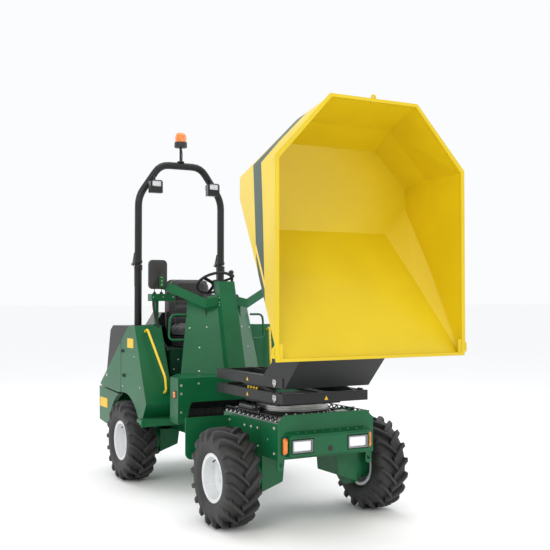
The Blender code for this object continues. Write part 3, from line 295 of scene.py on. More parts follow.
def noise(tree, coordinates, scale, detail=3.0, rough=0.5):
    made = node(tree, "ShaderNodeTexNoise", Scale=scale, Detail=detail, Roughness=rough)
    tree.links.new(coordinates, made.inputs["Vector"])
    return made.outputs["Fac"]


def band(tree, value, low, high):
    made = node(tree, "ShaderNodeMapRange", clamp=True)
    made.interpolation_type = "SMOOTHSTEP"
    tree.links.new(value, made.inputs["Value"])
    made.inputs["From Min"].default_value, made.inputs["From Max"].default_value = low, high
    return made.outputs["Result"]


def buildEdgeWear():
    # the mask is high where the rounded and the true surface directions differ, broken up by noise
    group, entry, leave = nodeGroup(
        "edgeWear",
        [("Width", "NodeSocketFloat", 0.003), ("Speckle", "NodeSocketFloat", 40.0)],
        [("Mask", "NodeSocketFloat"), ("Normal", "NodeSocketVector")],
    )
    soft = node(group, "ShaderNodeBevel", samples=4)
    group.links.new(entry.outputs["Width"], soft.inputs["Radius"])
    sharp = node(group, "ShaderNodeNewGeometry")
    dot = node(group, "ShaderNodeVectorMath", operation="DOT_PRODUCT")
    group.links.new(soft.outputs["Normal"], dot.inputs[0])
    group.links.new(sharp.outputs["Normal"], dot.inputs[1])
    edge = band(group, mathNode(group, "SUBTRACT", 1.0, dot.outputs["Value"]), 0.01, 0.12)
    place = node(group, "ShaderNodeTexCoord").outputs["Object"]
    speck = node(group, "ShaderNodeTexNoise", Detail=6.0, Roughness=0.7)
    group.links.new(place, speck.inputs["Vector"])
    group.links.new(entry.outputs["Speckle"], speck.inputs["Scale"])
    broken = band(group, speck.outputs["Fac"], 0.52, 0.64)
    group.links.new(mathNode(group, "MULTIPLY", edge, broken), leave.inputs["Mask"])
    group.links.new(soft.outputs["Normal"], leave.inputs["Normal"])
    return group


def buildRoadDust():
    # more dust low down, in soft patches
    group, entry, leave = nodeGroup(
        "roadDust",
        [("Amount", "NodeSocketFloat", 0.3), ("Top", "NodeSocketFloat", 0.8)],
        [("Mask", "NodeSocketFloat")],
    )
    place = node(group, "ShaderNodeTexCoord").outputs["Object"]
    split = node(group, "ShaderNodeSeparateXYZ")
    group.links.new(place, split.inputs[0])
    low = node(group, "ShaderNodeMapRange", clamp=True)
    group.links.new(split.outputs["Z"], low.inputs["Value"])
    group.links.new(entry.outputs["Top"], low.inputs["From Min"])
    low.inputs["From Max"].default_value = 0.0
    patches = band(group, noise(group, place, 7.0, 6.0, 0.65), 0.35, 0.75)
    grains = band(group, noise(group, place, 260.0, 2.0), 0.3, 0.8)
    mask = mathNode(
        group, "MULTIPLY", mathNode(group, "MULTIPLY", low.outputs["Result"], patches), entry.outputs["Amount"]
    )
    mask = mathNode(group, "MULTIPLY", mask, mathNode(group, "ADD", grains, 0.5), clamp=True)
    group.links.new(mask, leave.inputs["Mask"])
    return group


def buildGrain():
    # a fine height pattern: cells for moulded plastic, noise for sprayed paint and castings
    group, entry, leave = nodeGroup(
        "surfaceGrain",
        [("Scale", "NodeSocketFloat", 300.0), ("Cells", "NodeSocketFloat", 0.0)],
        [("Height", "NodeSocketFloat"), ("Tone", "NodeSocketFloat")],
    )
    place = node(group, "ShaderNodeTexCoord").outputs["Object"]
    fine = node(group, "ShaderNodeTexNoise", Detail=3.0)
    cells = node(group, "ShaderNodeTexVoronoi")
    for made in (fine, cells):
        group.links.new(place, made.inputs["Vector"])
        group.links.new(entry.outputs["Scale"], made.inputs["Scale"])
    blend = node(group, "ShaderNodeMix", data_type="FLOAT")
    group.links.new(entry.outputs["Cells"], blend.inputs[0])
    group.links.new(fine.outputs["Fac"], blend.inputs[2])
    group.links.new(cells.outputs["Distance"], blend.inputs[3])
    group.links.new(blend.outputs[0], leave.inputs["Height"])
    group.links.new(noise(group, place, 2.2, 4.0), leave.inputs["Tone"])
    return group


edgeWear, roadDust, surfaceGrain = buildEdgeWear(), buildRoadDust(), buildGrain()

finishes = {
    "machineGreen": dict(
        colour=(0.002, 0.118, 0.040), tone=(0.0015, 0.096, 0.032), worn=(0.08, 0.14, 0.10), rough=0.34,
        gloss=0.3, coat=0.08, grain=420, bump=0.05, wear=0.35, dust=0.10
    ),
    # the machine green made darker: painted shade for the seat box
    "paintedShadeGreen": dict(
        colour=(0.006, 0.050, 0.022), tone=(0.004, 0.036, 0.016), worn=(0.08, 0.12, 0.09), rough=0.42,
        gloss=0.3, coat=0.1, grain=420, bump=0.05, wear=0.3, dust=0.10
    ),
    "frameBlack": dict(
        colour=(0.012, 0.0125, 0.0135), tone=(0.008, 0.0085, 0.009), worn=(0.16, 0.16, 0.16), rough=0.40,
        gloss=0.3, coat=0.08, grain=520, bump=0.10, wear=0.5, dust=0.10
    ),
    "frameGrey": dict(
        colour=(0.016, 0.0165, 0.0175), tone=(0.010, 0.0105, 0.0115), worn=(0.20, 0.20, 0.20), rough=0.42,
        gloss=0.3, coat=0.08, grain=520, bump=0.10, wear=0.6, dust=0.10
    ),
    "deckPaint": dict(
        colour=(0.50, 0.52, 0.52), tone=(0.40, 0.42, 0.42), worn=(0.20, 0.20, 0.20), rough=0.5, gloss=0.5,
        coat=0.1, grain=420, bump=0.08, wear=0.4, dust=0.2
    ),
    "rimWhite": dict(
        colour=(0.72, 0.74, 0.75), tone=(0.62, 0.64, 0.66), worn=(0.35, 0.33, 0.30), rough=0.33, gloss=0.4,
        coat=0.2, grain=420, bump=0.05, wear=0.35, dust=0.35
    ),
    "skipYellow": dict(
        colour=(0.68, 0.495, 0.004), tone=(0.64, 0.46, 0.0035), worn=(0.60, 0.45, 0.10), rough=0.40, gloss=0.4,
        coat=0.08, grain=380, bump=0.05, wear=0.35, dust=0.0
    ),
    "railYellow": dict(
        colour=(0.86, 0.60, 0.01), tone=(0.82, 0.56, 0.008), worn=(0.40, 0.33, 0.12), rough=0.35, gloss=0.5,
        coat=0.3, grain=380, bump=0.05, wear=0.4, dust=0.0
    ),
}


def shaderFor(name):
    # a new material with its node tree and its main shader
    made = bpy.data.materials.new(name)
    made.use_nodes = True
    return made, made.node_tree, made.node_tree.nodes["Principled BSDF"]


def placed(tree, group, **values):
    # a shared group in this material, with the material's own values
    made = tree.nodes.new("ShaderNodeGroup")
    made.node_tree = group
    for key, value in values.items():
        made.inputs[key].default_value = value
    return made


def paintTree(name, finish, colourLink=None):
    # sprayed paint: mottled tone, bare metal along worn edges, dust low down, orange-peel bump
    made, tree, shader = shaderFor(name)
    grain = placed(tree, surfaceGrain, Scale=finish["grain"])
    wear = placed(tree, edgeWear, Width=0.0030, Speckle=55.0)
    dust = placed(tree, roadDust, Amount=finish["dust"], Top=0.85)
    base = mixColour(
        tree, band(tree, grain.outputs["Tone"], 0.35, 0.65), (*finish["tone"], 1), (*finish["colour"], 1)
    )
    if colourLink:
        base = colourLink(tree, base)
    worn = mathNode(tree, "MULTIPLY", wear.outputs["Mask"], finish["wear"])
    base = mixColour(tree, worn, base, (*finish["worn"], 1))
    base = mixColour(tree, dust.outputs["Mask"], base, (0.30, 0.26, 0.21, 1))
    tree.links.new(base, shader.inputs["Base Color"])
    dull = mathNode(tree, "ADD", mathNode(tree, "MULTIPLY", dust.outputs["Mask"], 0.4), finish["rough"])
    dull = mathNode(tree, "ADD", dull, mathNode(tree, "MULTIPLY", grain.outputs["Tone"], 0.06))
    tree.links.new(dull, shader.inputs["Roughness"])
    shader.inputs["Specular IOR Level"].default_value = finish["gloss"]
    shader.inputs["Coat Weight"].default_value = finish["coat"]
    shader.inputs["Coat Roughness"].default_value = 0.12
    rise = node(tree, "ShaderNodeBump", Strength=finish["bump"], Distance=0.001)
    tree.links.new(grain.outputs["Height"], rise.inputs["Height"])
    tree.links.new(wear.outputs["Normal"], rise.inputs["Normal"])
    tree.links.new(rise.outputs["Normal"], shader.inputs["Normal"])
    return made


def metalTree(name, colour, rough, grainScale=300.0, bump=0.15):
    # bare or plated metal with a faint cast or ground texture
    made, tree, shader = shaderFor(name)
    grain = placed(tree, surfaceGrain, Scale=grainScale)
    wear = placed(tree, edgeWear, Width=0.0015, Speckle=90.0)
    dark = tuple(0.72 * c for c in colour)
    base = mixColour(tree, band(tree, grain.outputs["Tone"], 0.35, 0.65), (*dark, 1), (*colour, 1))
    tree.links.new(base, shader.inputs["Base Color"])
    tree.links.new(
        mathNode(tree, "ADD", mathNode(tree, "MULTIPLY", grain.outputs["Height"], 0.12), rough),
        shader.inputs["Roughness"]
    )
    shader.inputs["Metallic"].default_value = 1.0
    rise = node(tree, "ShaderNodeBump", Strength=bump, Distance=0.0006)
    tree.links.new(grain.outputs["Height"], rise.inputs["Height"])
    tree.links.new(wear.outputs["Normal"], rise.inputs["Normal"])
    tree.links.new(rise.outputs["Normal"], shader.inputs["Normal"])
    return made


def mouldedTree(name, colour, tone, rough, scale, cells, bump, dustAmount=0.0):
    # rubber and plastic: a cell or noise grain in both height and roughness
    made, tree, shader = shaderFor(name)
    grain = placed(tree, surfaceGrain, Scale=scale, Cells=cells)
    dust = placed(tree, roadDust, Amount=dustAmount, Top=0.9)
    base = mixColour(tree, band(tree, grain.outputs["Tone"], 0.35, 0.65), (*tone, 1), (*colour, 1))
    base = mixColour(tree, dust.outputs["Mask"], base, (0.26, 0.23, 0.19, 1))
    tree.links.new(base, shader.inputs["Base Color"])
    tree.links.new(
        mathNode(tree, "ADD", mathNode(tree, "MULTIPLY", grain.outputs["Height"], 0.15), rough),
        shader.inputs["Roughness"]
    )
    rise = node(tree, "ShaderNodeBump", Strength=bump, Distance=0.001)
    tree.links.new(grain.outputs["Height"], rise.inputs["Height"])
    tree.links.new(rise.outputs["Normal"], shader.inputs["Normal"])
    return made


def lensTree(name, colour, glow, ribs):
    # a lamp lens: moulded ribs as waves in colour and height, under a clear coat, with a faint glow
    made, tree, shader = shaderFor(name)
    place = node(tree, "ShaderNodeTexCoord").outputs["Object"]
    wave = node(tree, "ShaderNodeTexWave", Scale=ribs, Distortion=0.0)
    tree.links.new(place, wave.inputs["Vector"])
    darker = tuple(0.6 * c for c in colour)
    base = mixColour(tree, wave.outputs["Fac"], (*darker, 1), (*colour, 1))
    tree.links.new(base, shader.inputs["Base Color"])
    shader.inputs["Roughness"].default_value = 0.12
    shader.inputs["Coat Weight"].default_value = 1.0
    tree.links.new(base, shader.inputs["Emission Color"])
    shader.inputs["Emission Strength"].default_value = glow
    rise = node(tree, "ShaderNodeBump", Strength=0.3, Distance=0.001)
    tree.links.new(wave.outputs["Fac"], rise.inputs["Height"])
    tree.links.new(rise.outputs["Normal"], shader.inputs["Normal"])
    return made


stripeValues = dict(
    frontY=-0.790, lean=0.055, lowZ=1.48, taper=0.30, width=0.122, slantZ=1.72, slant=-0.50, goldHalf=0.014
)


def skipStripe(tree, base):
    # a green band with a gold slant on the outside of the two side panels: green where y lies within
    # the band that leans with z, gold where y follows a steeper line across it
    place = node(tree, "ShaderNodeTexCoord")
    split = node(tree, "ShaderNodeSeparateXYZ")
    tree.links.new(place.outputs["Object"], split.inputs[0])
    facing = node(tree, "ShaderNodeSeparateXYZ")
    tree.links.new(place.outputs["Normal"], facing.inputs[0])
    outwards = mathNode(tree, "MULTIPLY", facing.outputs["X"], mathNode(tree, "SIGN", split.outputs["X"]))
    side = mathNode(tree, "GREATER_THAN", outwards, 0.35)
    y, z = split.outputs["Y"], split.outputs["Z"]
    rise = mathNode(tree, "SUBTRACT", z, stripeValues["lowZ"])
    away = mathNode(tree, "SUBTRACT", y, stripeValues["frontY"] + axleY)
    away = mathNode(tree, "SUBTRACT", away, mathNode(tree, "MULTIPLY", rise, stripeValues["lean"]))
    wide = mathNode(
        tree, "MINIMUM", mathNode(tree, "MULTIPLY", rise, stripeValues["taper"]), stripeValues["width"]
    )
    inside = mathNode(
        tree, "MULTIPLY", mathNode(tree, "GREATER_THAN", away, 0.0), mathNode(tree, "LESS_THAN", away, wide)
    )
    green = mathNode(
        tree, "MULTIPLY", mathNode(tree, "MULTIPLY", inside, mathNode(tree, "GREATER_THAN", rise, 0.0)), side
    )
    slant = mathNode(
        tree, "ADD", away,
        mathNode(tree, "MULTIPLY", mathNode(tree, "SUBTRACT", z, stripeValues["slantZ"]), stripeValues["slant"])
    )
    gold = mathNode(tree, "LESS_THAN", mathNode(tree, "ABSOLUTE", slant), stripeValues["goldHalf"])
    gold = mathNode(tree, "MULTIPLY", gold, green)
    base = mixColour(tree, green, base, (0.004, 0.040, 0.022, 1))
    return mixColour(tree, gold, base, (0.80, 0.52, 0.06, 1))


def dashFront(tree, base):
    # green where the shell faces forwards, because its lower corners show beside the console
    facing = node(tree, "ShaderNodeSeparateXYZ")
    tree.links.new(node(tree, "ShaderNodeTexCoord").outputs["Normal"], facing.inputs[0])
    front = mathNode(tree, "LESS_THAN", facing.outputs["Y"], -0.8)
    return mixColour(tree, front, base, (*finishes["machineGreen"]["colour"], 1))


look = {name: paintTree(name, finish) for name, finish in finishes.items() if name != "skipYellow"}
look["skipYellow"] = paintTree("skipYellow", finishes["skipYellow"], skipStripe)
look["dashShell"] = paintTree("dashShell", finishes["frameBlack"], dashFront)
look["steel"] = metalTree("machinedSteel", (0.62, 0.62, 0.60), 0.26)
look["zinc"] = metalTree("zincBolts", (0.78, 0.78, 0.76), 0.30, 500.0)
look["lampMetal"] = metalTree("lampBezel", (0.30, 0.30, 0.31), 0.32, 400.0, 0.1)
look["chrome"] = metalTree("pistonChrome", (0.85, 0.85, 0.86), 0.08, 700.0, 0.02)
look["rubber"] = mouldedTree(
    "tyreRubber", (0.022, 0.022, 0.023), (0.014, 0.014, 0.015), 0.55, 380, 0.0, 0.25, 0.10
)
look["plastic"] = mouldedTree(
    "mouldedPlastic", (0.022, 0.022, 0.023), (0.015, 0.015, 0.016), 0.48, 900, 1.0, 0.35
)
look["hose"] = mouldedTree("hoseRubber", (0.016, 0.016, 0.017), (0.010, 0.010, 0.011), 0.42, 700, 0.0, 0.3)
look["grip"] = mouldedTree("gripRubber", (0.014, 0.014, 0.015), (0.010, 0.010, 0.010), 0.62, 1300, 1.0, 0.5)
look["amber"] = lensTree("amberLens", (0.85, 0.22, 0.01), 0.15, ribs=45.0)
look["red"] = lensTree("redLens", (0.55, 0.01, 0.01), 0.08, ribs=45.0)
look["clear"] = lensTree("lampLens", (0.86, 0.89, 0.91), 0.35, ribs=38.0)
look["clearDim"] = lensTree("lampLensOff", (0.62, 0.66, 0.68), 0.05, ribs=38.0)
look["mirror"] = metalTree("mirrorGlass", (0.80, 0.82, 0.84), 0.03, 30.0, 0.0)
look["webbing"] = mouldedTree("beltWebbing", (0.030, 0.030, 0.032), (0.018, 0.018, 0.020), 0.6, 900, 1.0, 0.6)
look["plateYellow"] = mouldedTree("signYellow", (0.85, 0.55, 0.02), (0.78, 0.48, 0.015), 0.4, 600, 0.0, 0.1)
look["buckle"] = mouldedTree("buckleRed", (0.50, 0.015, 0.012), (0.42, 0.012, 0.010), 0.35, 700, 0.0, 0.15)


def coverTree():
    # a coated seat cover: leather cells with a faint sheen
    made, tree, shader = shaderFor("seatCover")
    grain = placed(tree, surfaceGrain, Scale=520.0, Cells=1.0)
    base = mixColour(tree, grain.outputs["Height"], (0.030, 0.030, 0.032, 1), (0.014, 0.014, 0.015, 1))
    base = mixColour(tree, band(tree, grain.outputs["Tone"], 0.4, 0.7), base, (0.022, 0.022, 0.024, 1))
    tree.links.new(base, shader.inputs["Base Color"])
    tree.links.new(
        mathNode(tree, "ADD", mathNode(tree, "MULTIPLY", grain.outputs["Height"], 0.3), 0.42),
        shader.inputs["Roughness"]
    )
    shader.inputs["Sheen Weight"].default_value = 0.15
    rise = node(tree, "ShaderNodeBump", Strength=0.35, Distance=0.0008)
    tree.links.new(grain.outputs["Height"], rise.inputs["Height"])
    tree.links.new(rise.outputs["Normal"], shader.inputs["Normal"])
    return made


look["cover"] = coverTree()

finishOf = {
    "machineGreen": [
        "front_frame", "front_plate", "lamp_box", "front_wheel_carrier", "rear_wheel_carrier", "mudguard_right",
        "mudguard_left", "rear_frame", "floor_plate", "bulkhead", "console", "fender_right", "fender_left",
        "rear_body", "hood_side_right", "hood_side_left", "mirror_right", "mirror_left", "lever_console"
    ],
    # the seat box takes the darker green of painted shade
    "paintedShadeGreen": ["seat_box"],
    "frameBlack": [
        "hood", "slew_drive", "rops_posts", "rops_hoop", "work_light_right", "work_light_left", "beacon_stem",
        "lift_barrel", "tip_barrel", "steering_barrel", "battery_block"
    ],
    "frameGrey": ["lower_lift_frame", "upper_lift_frame", "lower_scissor_arm", "upper_scissor_arm"],
    "skipYellow": ["skip", "skip_hinge_frame"],
    "railYellow": ["handrail_right", "handrail_left"],
    "deckPaint": ["front_deck"],
    "steel": ["slew_ring"],
    "chrome": ["lift_rod", "tip_rod", "steering_rod"],
    "rimWhite": [name for name in nodes if name.endswith("_rim")],
    "rubber": [name for name in nodes if name.endswith("_tyre")],
    "dashShell": ["dashboard"],
    "plastic": ["seat_base"],
    "grip": ["steering_wheel"],
    "amber": ["beacon"],
    "cover": ["seat_cushion", "seat_back"],
}
for finishName, members in finishOf.items():
    for member in members:
        nodes[member].data.materials.clear()
        nodes[member].data.materials.append(look[finishName])
print("materials made")


tyreValues = dict(crown=0.322, lugs=18, sweep=0.34, lugHalf=0.0155, footHalf=0.021, segments=108)
wheels = [("front_right", -1), ("front_left", 1), ("rear_right", -1), ("rear_left", 1)]


def tyreCarcass(centre):
    # the cross-section (x, radius) carried round the wheel, with rim guard and sidewall ribs
    v = tyreValues
    half = [
        (0.094, 0.1583), (0.0945, 0.172), (0.102, 0.180), (0.112, 0.186), (0.118, 0.196), (0.117, 0.203),
        (0.120, 0.208), (0.126, 0.225), (0.129, 0.245), (0.128, 0.250), (0.129, 0.256), (0.127, 0.275),
        (0.120, 0.296), (0.104, 0.312), (0.075, v["crown"] - 0.002), (0.035, v["crown"])
    ]
    profile = half + [(-x, r) for x, r in half[::-1]]
    return turned(profile, centre, (1, 0, 0), v["segments"], closed=True)


def tyreLugs(centre):
    # each bar runs from past the middle line out over the shoulder and down the sidewall,
    # its angle falling behind by the sweep; a ring of six points makes its section
    v = tyreValues
    top = np.array([
        (-0.016, 0.355), (0.020, 0.3555), (0.055, 0.3550), (0.088, 0.3525), (0.112, 0.346), (0.1275, 0.330),
        (0.1325, 0.305), (0.1322, 0.280), (0.1295, 0.262)
    ])
    foot = np.array([
        (-0.016, 0.318), (0.020, 0.318), (0.055, 0.317), (0.084, 0.314), (0.100, 0.308), (0.112, 0.298),
        (0.120, 0.286), (0.122, 0.270), (0.121, 0.258)
    ])
    share = np.clip((top[:, 0] + 0.016) / 0.128, 0, 1)
    fall = v["sweep"] * (1.15 * share - 0.15 * share**2)
    half = np.interp(
        np.arange(len(top)), [0, 1, 4, 8],
        [v["lugHalf"] * 0.92, v["lugHalf"], v["lugHalf"] * 1.05, v["lugHalf"] * 0.75]
    )
    wide = half * v["footHalf"] / v["lugHalf"]
    section = np.stack([
        np.stack([foot[:, 0], foot[:, 1], -wide], -1),
        np.stack([top[:, 0], top[:, 1] - 0.004, -half], -1),
        np.stack([top[:, 0], top[:, 1], -half + 0.003], -1),
        np.stack([top[:, 0], top[:, 1], half - 0.003], -1),
        np.stack([top[:, 0], top[:, 1] - 0.004, half], -1),
        np.stack([foot[:, 0], foot[:, 1], wide], -1),
    ], 1)
    shapes = []
    for side in (-1, 1):
        start = 2 * np.pi * (np.arange(v["lugs"]) + (0.5 if side > 0 else 0.0)) / v["lugs"]
        radius = section[..., 1]
        angle = start[:, None, None] - fall[None, :, None] + section[..., 2][None] / radius[None]
        x = np.broadcast_to(side * section[..., 0], angle.shape)
        y, z = -radius * np.cos(angle), -radius * np.sin(angle)
        grid = np.stack([centre[0] + x, centre[1] + y, centre[2] + z], -1)
        rows, cols = section.shape[:2]
        block = gridFaces(rows, cols) + [list(range(cols)), list(range((rows - 1) * cols, rows * cols))]
        faces = [[i + k * rows * cols for i in face] for k in range(v["lugs"]) for face in block]
        shapes.append((grid.reshape(-1, 3), faces))
    return shapes


rimValues = dict(nutCount=8, nutCircle=0.072, nutRadius=0.010, capRadius=0.042)


def rimDetails(centre, side):
    # nuts and studs on a circle and a domed hub cover, all on the outside of the disc
    v = rimValues
    angle = np.linspace(0, 2 * np.pi, v["nutCount"], endpoint=False) + 0.2
    face = centre[0] + side * 0.002
    y, z = centre[1] + v["nutCircle"] * np.cos(angle), centre[2] + v["nutCircle"] * np.sin(angle)
    ring = np.stack([np.full_like(angle, face), y, z], -1)
    nuts = stamped(
        [
            (0, 0.014), (0.003, 0.014), (0.003, v["nutRadius"]), (0.013, v["nutRadius"]),
            (0.016, v["nutRadius"] * 0.7)
        ],
        ring, (side, 0, 0), 6
    )
    studs = stamped([(0.010, 0.005), (0.022, 0.005), (0.024, 0.004)], ring, (side, 0, 0), 10)
    cap = turned(
        [
            (0, v["capRadius"]), (0.006, v["capRadius"]), (0.016, v["capRadius"] * 0.92),
            (0.020, v["capRadius"] * 0.7), (0.021, 0.004)
        ],
        (face, centre[1], centre[2]), (side, 0, 0), 32
    )
    return nuts, studs, cap


for wheelName, side in wheels:
    low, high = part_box(f"{wheelName}_tyre")
    middle = np.array((low + high) / 2)
    end, hand = wheelName.split("_")
    body = f"wheel_{end}_{hand}"
    tyre = piece(
        f"{wheelName}_tyreDetail", [tyreCarcass(middle)] + tyreLugs(middle), look["rubber"], body, 38,
    )
    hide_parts(f"{wheelName}_tyre")
    nuts, studs, cap = rimDetails(middle, side)
    piece(f"{wheelName}_nuts", [nuts, studs], look["zinc"], body, 30)
    piece(f"{wheelName}_hubCap", cap, look["rimWhite"], body, 40)
    bead = turned(
        [
            (side * 0.096, 0.1705), (side * 0.1045, 0.1715), (side * 0.1075, 0.1735), (side * 0.1070, 0.1765),
            (side * 0.1020, 0.1775), (side * 0.0965, 0.1745)
        ],
        middle, (1, 0, 0), 72, closed=True
    )
    piece(f"{wheelName}_rimLip", bead, look["rimWhite"], body, 60)
    up = middle + [side * 0.035, 0.04, 0.135]
    valve = rod(up, up + [side * 0.038, -0.006, -0.022], 0.004, 10)
    piece(
        f"{wheelName}_valve",
        [valve, rod(up + [side * 0.036, -0.0057, -0.0208], up + [side * 0.05, -0.0078, -0.029], 0.0055, 10)],
        look["hose"], body
    )
print("wheels dressed")


def frameRing(centre, across, up, outer, inner, depth, radius=0.008):
    # a picture-frame band: outer outline back and front, then inner outline front and back
    across, up = np.asarray(across, float), np.asarray(up, float)
    out = np.cross(across, up)
    rings = []
    for size, level in (
        (outer, 0), (outer, depth * 0.8), ((outer[0] - 0.004, outer[1] - 0.004), depth),
        ((inner[0] + 0.003, inner[1] + 0.003), depth), (inner, depth * 0.8), (inner, 0)
    ):
        flat = roundedOutline(size[0], size[1], radius)
        rings.append(np.asarray(centre) + flat[:, :1] * across + flat[:, 1:] * up + out * level)
    return loftRings(rings, closed=True)


def bulged(centre, across, up, width, height, depth, radius=0.01, rows=6):
    # a rounded rectangle shrinking over its last layers like part of a ball: size * sqrt(1 - s^2)
    across, up = np.asarray(across, float), np.asarray(up, float)
    out = np.cross(across, up)
    rings = []
    for share in np.linspace(0, 1, rows):
        shrink = 1 - 0.75 * (1 - math.sqrt(1 - 0.94 * share**2))
        flat = roundedOutline(width * shrink, height * shrink, radius * shrink)
        rings.append(np.asarray(centre) + flat[:, :1] * across + flat[:, 1:] * up + out * depth * share)
    return loftRings(rings)


lampValues = dict(x=0.232, z=0.600, size=(0.168, 0.092), sideX=0.352, sideZ=0.602)
for side, hand in sides:
    v = lampValues
    spot = at(side * v["x"], -0.4082, v["z"])
    wide, tall = v["size"]
    piece(
        f"headlampBezel_{hand}", frameRing(spot, *alongFront, (wide, tall), (wide - 0.02, tall - 0.02), 0.0175),
        look["lampMetal"], "front_section", 30
    )
    piece(
        f"headlampBack_{hand}", slab(spot + [0, -0.001, 0], *alongFront, wide - 0.012, tall - 0.012, 0.003),
        look["chrome"], "front_section"
    )
    lens = [bulged(spot + [0, -0.003, 0], *alongFront, wide - 0.021, tall - 0.021, 0.0095, 0.010)]
    piece(f"headlampLens_{hand}", lens, look["clear"], "front_section", 30)
    shelf = at(side * v["sideX"], -0.3675, v["sideZ"])
    piece(
        f"indicatorBase_{hand}", slab(shelf + [0, -0.006, 0], *alongFront, 0.038, 0.124, 0.013, 0.006),
        look["plastic"], "front_section"
    )
    piece(
        f"indicatorLens_{hand}", bulged(shelf + [0, -0.0125, 0], *alongFront, 0.032, 0.112, 0.026, 0.007),
        look["amber"], "front_section", 25
    )
    screws = np.array([shelf + [0, -0.0125, dz] for dz in (-0.058, 0.058)])
    piece(f"indicatorScrews_{hand}", domes(screws, (0, -1, 0), 0.0028), look["zinc"], "front_section")

middleHole = turned(
    [(0, 0.0205), (0.0022, 0.0205), (0.0030, 0.0185), (0.0012, 0.0155), (0.0012, 0.004)],
    at(-0.002, -0.4198, 0.570), (0, -1, 0), 32
)
piece("lampBoxPlug", middleHole, look["plastic"], "front_section")
rivets = places([(x, -0.4435, 0.7025) for x in np.linspace(-0.28, 0.28, 9)])
piece("visorRivets", domes(rivets + [0, 0.012, -0.003], (0, -0.5, 0.86), 0.0035), look["zinc"], "front_section")

sideMarks = [
    (0.147, 0.690), (0.040, 0.692), (-0.060, 0.694), (-0.065, 0.563), (0.023, 0.564), (-0.309, 0.722),
    (-0.309, 0.545), (0.400, 0.700), (0.400, 0.560)
]
smallMarks = [(-0.215, 0.632)]
for side, hand in sides:
    spots = places([(side * 0.400, y, z) for y, z in sideMarks])
    piece(f"frameBolts_{hand}", bolts(spots, (side, 0, 0), 0.0085, 0.007), look["zinc"], "front_section", 30)
    piece(
        f"frameScrews_{hand}",
        domes(places([(side * 0.400, y, z) for y, z in smallMarks]), (side, 0, 0), 0.006), look["zinc"],
        "front_section"
    )
    seam = slab(at(side * 0.4015, -0.105, 0.62), (0, 1, 0), (0, 0, 1), 0.012, 0.20, 0.004, 0.0018, 0.001)
    piece(f"frameSeam_{hand}", seam, look["machineGreen"], "front_section")


def slottedLug(name, centre, body, material, width=0.05, height=0.085, thick=0.012):
    # a flat eye: a bullet outline around an oval hole, joined ring by ring across its thickness
    angle = np.linspace(0, 2 * np.pi, 36, endpoint=False)
    hole = np.stack([0.013 * np.cos(angle), 0.016 * np.sin(angle)], -1)
    corner = 1 / np.maximum(np.abs(np.cos(angle)) / (width / 2), np.abs(np.sin(angle)) / (height / 2))
    radius = np.where(np.sin(angle) > 0, corner, np.minimum(corner, height / 2 * 0.98))
    outer = np.stack([radius * np.cos(angle), radius * np.sin(angle)], -1)
    rings = []
    for outline, level in (
        (hole, 0), (hole, thick), (outer * 0.97, thick), (outer, thick * 0.8), (outer, thick * 0.2),
        (outer * 0.97, 0)
    ):
        rings.append(
            np.stack([centre[0] + outline[:, 0], np.full(36, centre[1] - level), centre[2] + outline[:, 1]], -1)
        )
    piece(name, loftRings(rings, closed=True), material, body, 35)


for side, hand in sides:
    slottedLug(f"tieDownEye_{hand}", at(side * 0.372, -0.342, 0.468), "front_section", look["machineGreen"])

deckValues = dict(edgeX=0.386, startY=-0.335, endY=0.47, teeth=11, stripHeight=0.042, stripZ=0.7632)


def ladderStrip(side):
    # a low fence: two long edges with slanting webs between them, standing on the deck
    v = deckValues
    x, half = side * v["edgeX"], v["stripHeight"] / 2
    ys = np.linspace(v["startY"], v["endY"], v["teeth"] * 2 + 1)
    shapes = []
    for edge in (-1, 1):
        middle = at(x, (v["startY"] + v["endY"]) / 2, v["stripZ"] + half + edge * (half - 0.003))
        shapes.append(slab(middle, (0, 1, 0), (1, 0, 0), v["endY"] - v["startY"], 0.016, 0.006, 0.002, 0.0012))
    high = v["stripZ"] + half + (half - 0.006) * (-1.0) ** np.arange(len(ys))
    zig = np.stack([np.full(len(ys), x), ys + axleY, high], -1)
    for a, b in zip(zig[:-1], zig[1:]):
        shapes.append(
            swept(np.array([a, b]), [(-0.006, -0.0018), (0.006, -0.0018), (0.006, 0.0018), (-0.006, 0.0018)])
        )
    return shapes


for side, hand in sides:
    piece(f"deckChannel_{hand}", ladderStrip(side), look["frameBlack"], "front_section", 30)
    spots = places([(side * 0.3945, y, 0.7705) for y in np.linspace(-0.32, 0.455, 12)])
    piece(f"deckBolts_{hand}", bolts(spots, (side, 0, 0), 0.0058, 0.0065), look["zinc"], "front_section", 30)

slewValues = dict(middleY=0.13, boltCount=28, topCircle=0.236, topZ=0.848, baseCircle=0.2855, baseZ=0.782)


def slewRing(radius, z):
    # evenly spaced places on a level circle round the slewing axis
    return np.stack([radius * np.cos(circle), slewY + radius * np.sin(circle), np.full_like(circle, z)], -1)


slewY = slewValues["middleY"] + axleY
circle = np.linspace(0, 2 * np.pi, slewValues["boltCount"], endpoint=False)
boltRing = slewRing(slewValues["topCircle"], slewValues["topZ"])
piece("slewBolts", bolts(boltRing, (0, 0, 1), 0.0085, 0.010), look["zinc"], "turntable", 30)
groove = turned(
    [
        (0.8070, 0.2702), (0.8100, 0.2725), (0.8220, 0.2725), (0.8235, 0.2700), (0.8270, 0.2700),
        (0.8290, 0.2722), (0.8400, 0.2722), (0.8430, 0.2702)
    ],
    (0, slewY, 0), (0, 0, 1), 96
)
piece("slewRingBand", groove, look["steel"], "turntable", 30)
baseRing = slewRing(slewValues["baseCircle"], slewValues["baseZ"])
outward = np.stack([np.cos(circle), np.sin(circle), np.zeros_like(circle)], -1)
clear = baseRing[:, 0] > -0.20  # the worm drive takes the right side
piece(
    "slewBaseScrews", bolts(baseRing[clear], outward[clear], 0.0058, 0.006), look["zinc"], "front_section", 30
)

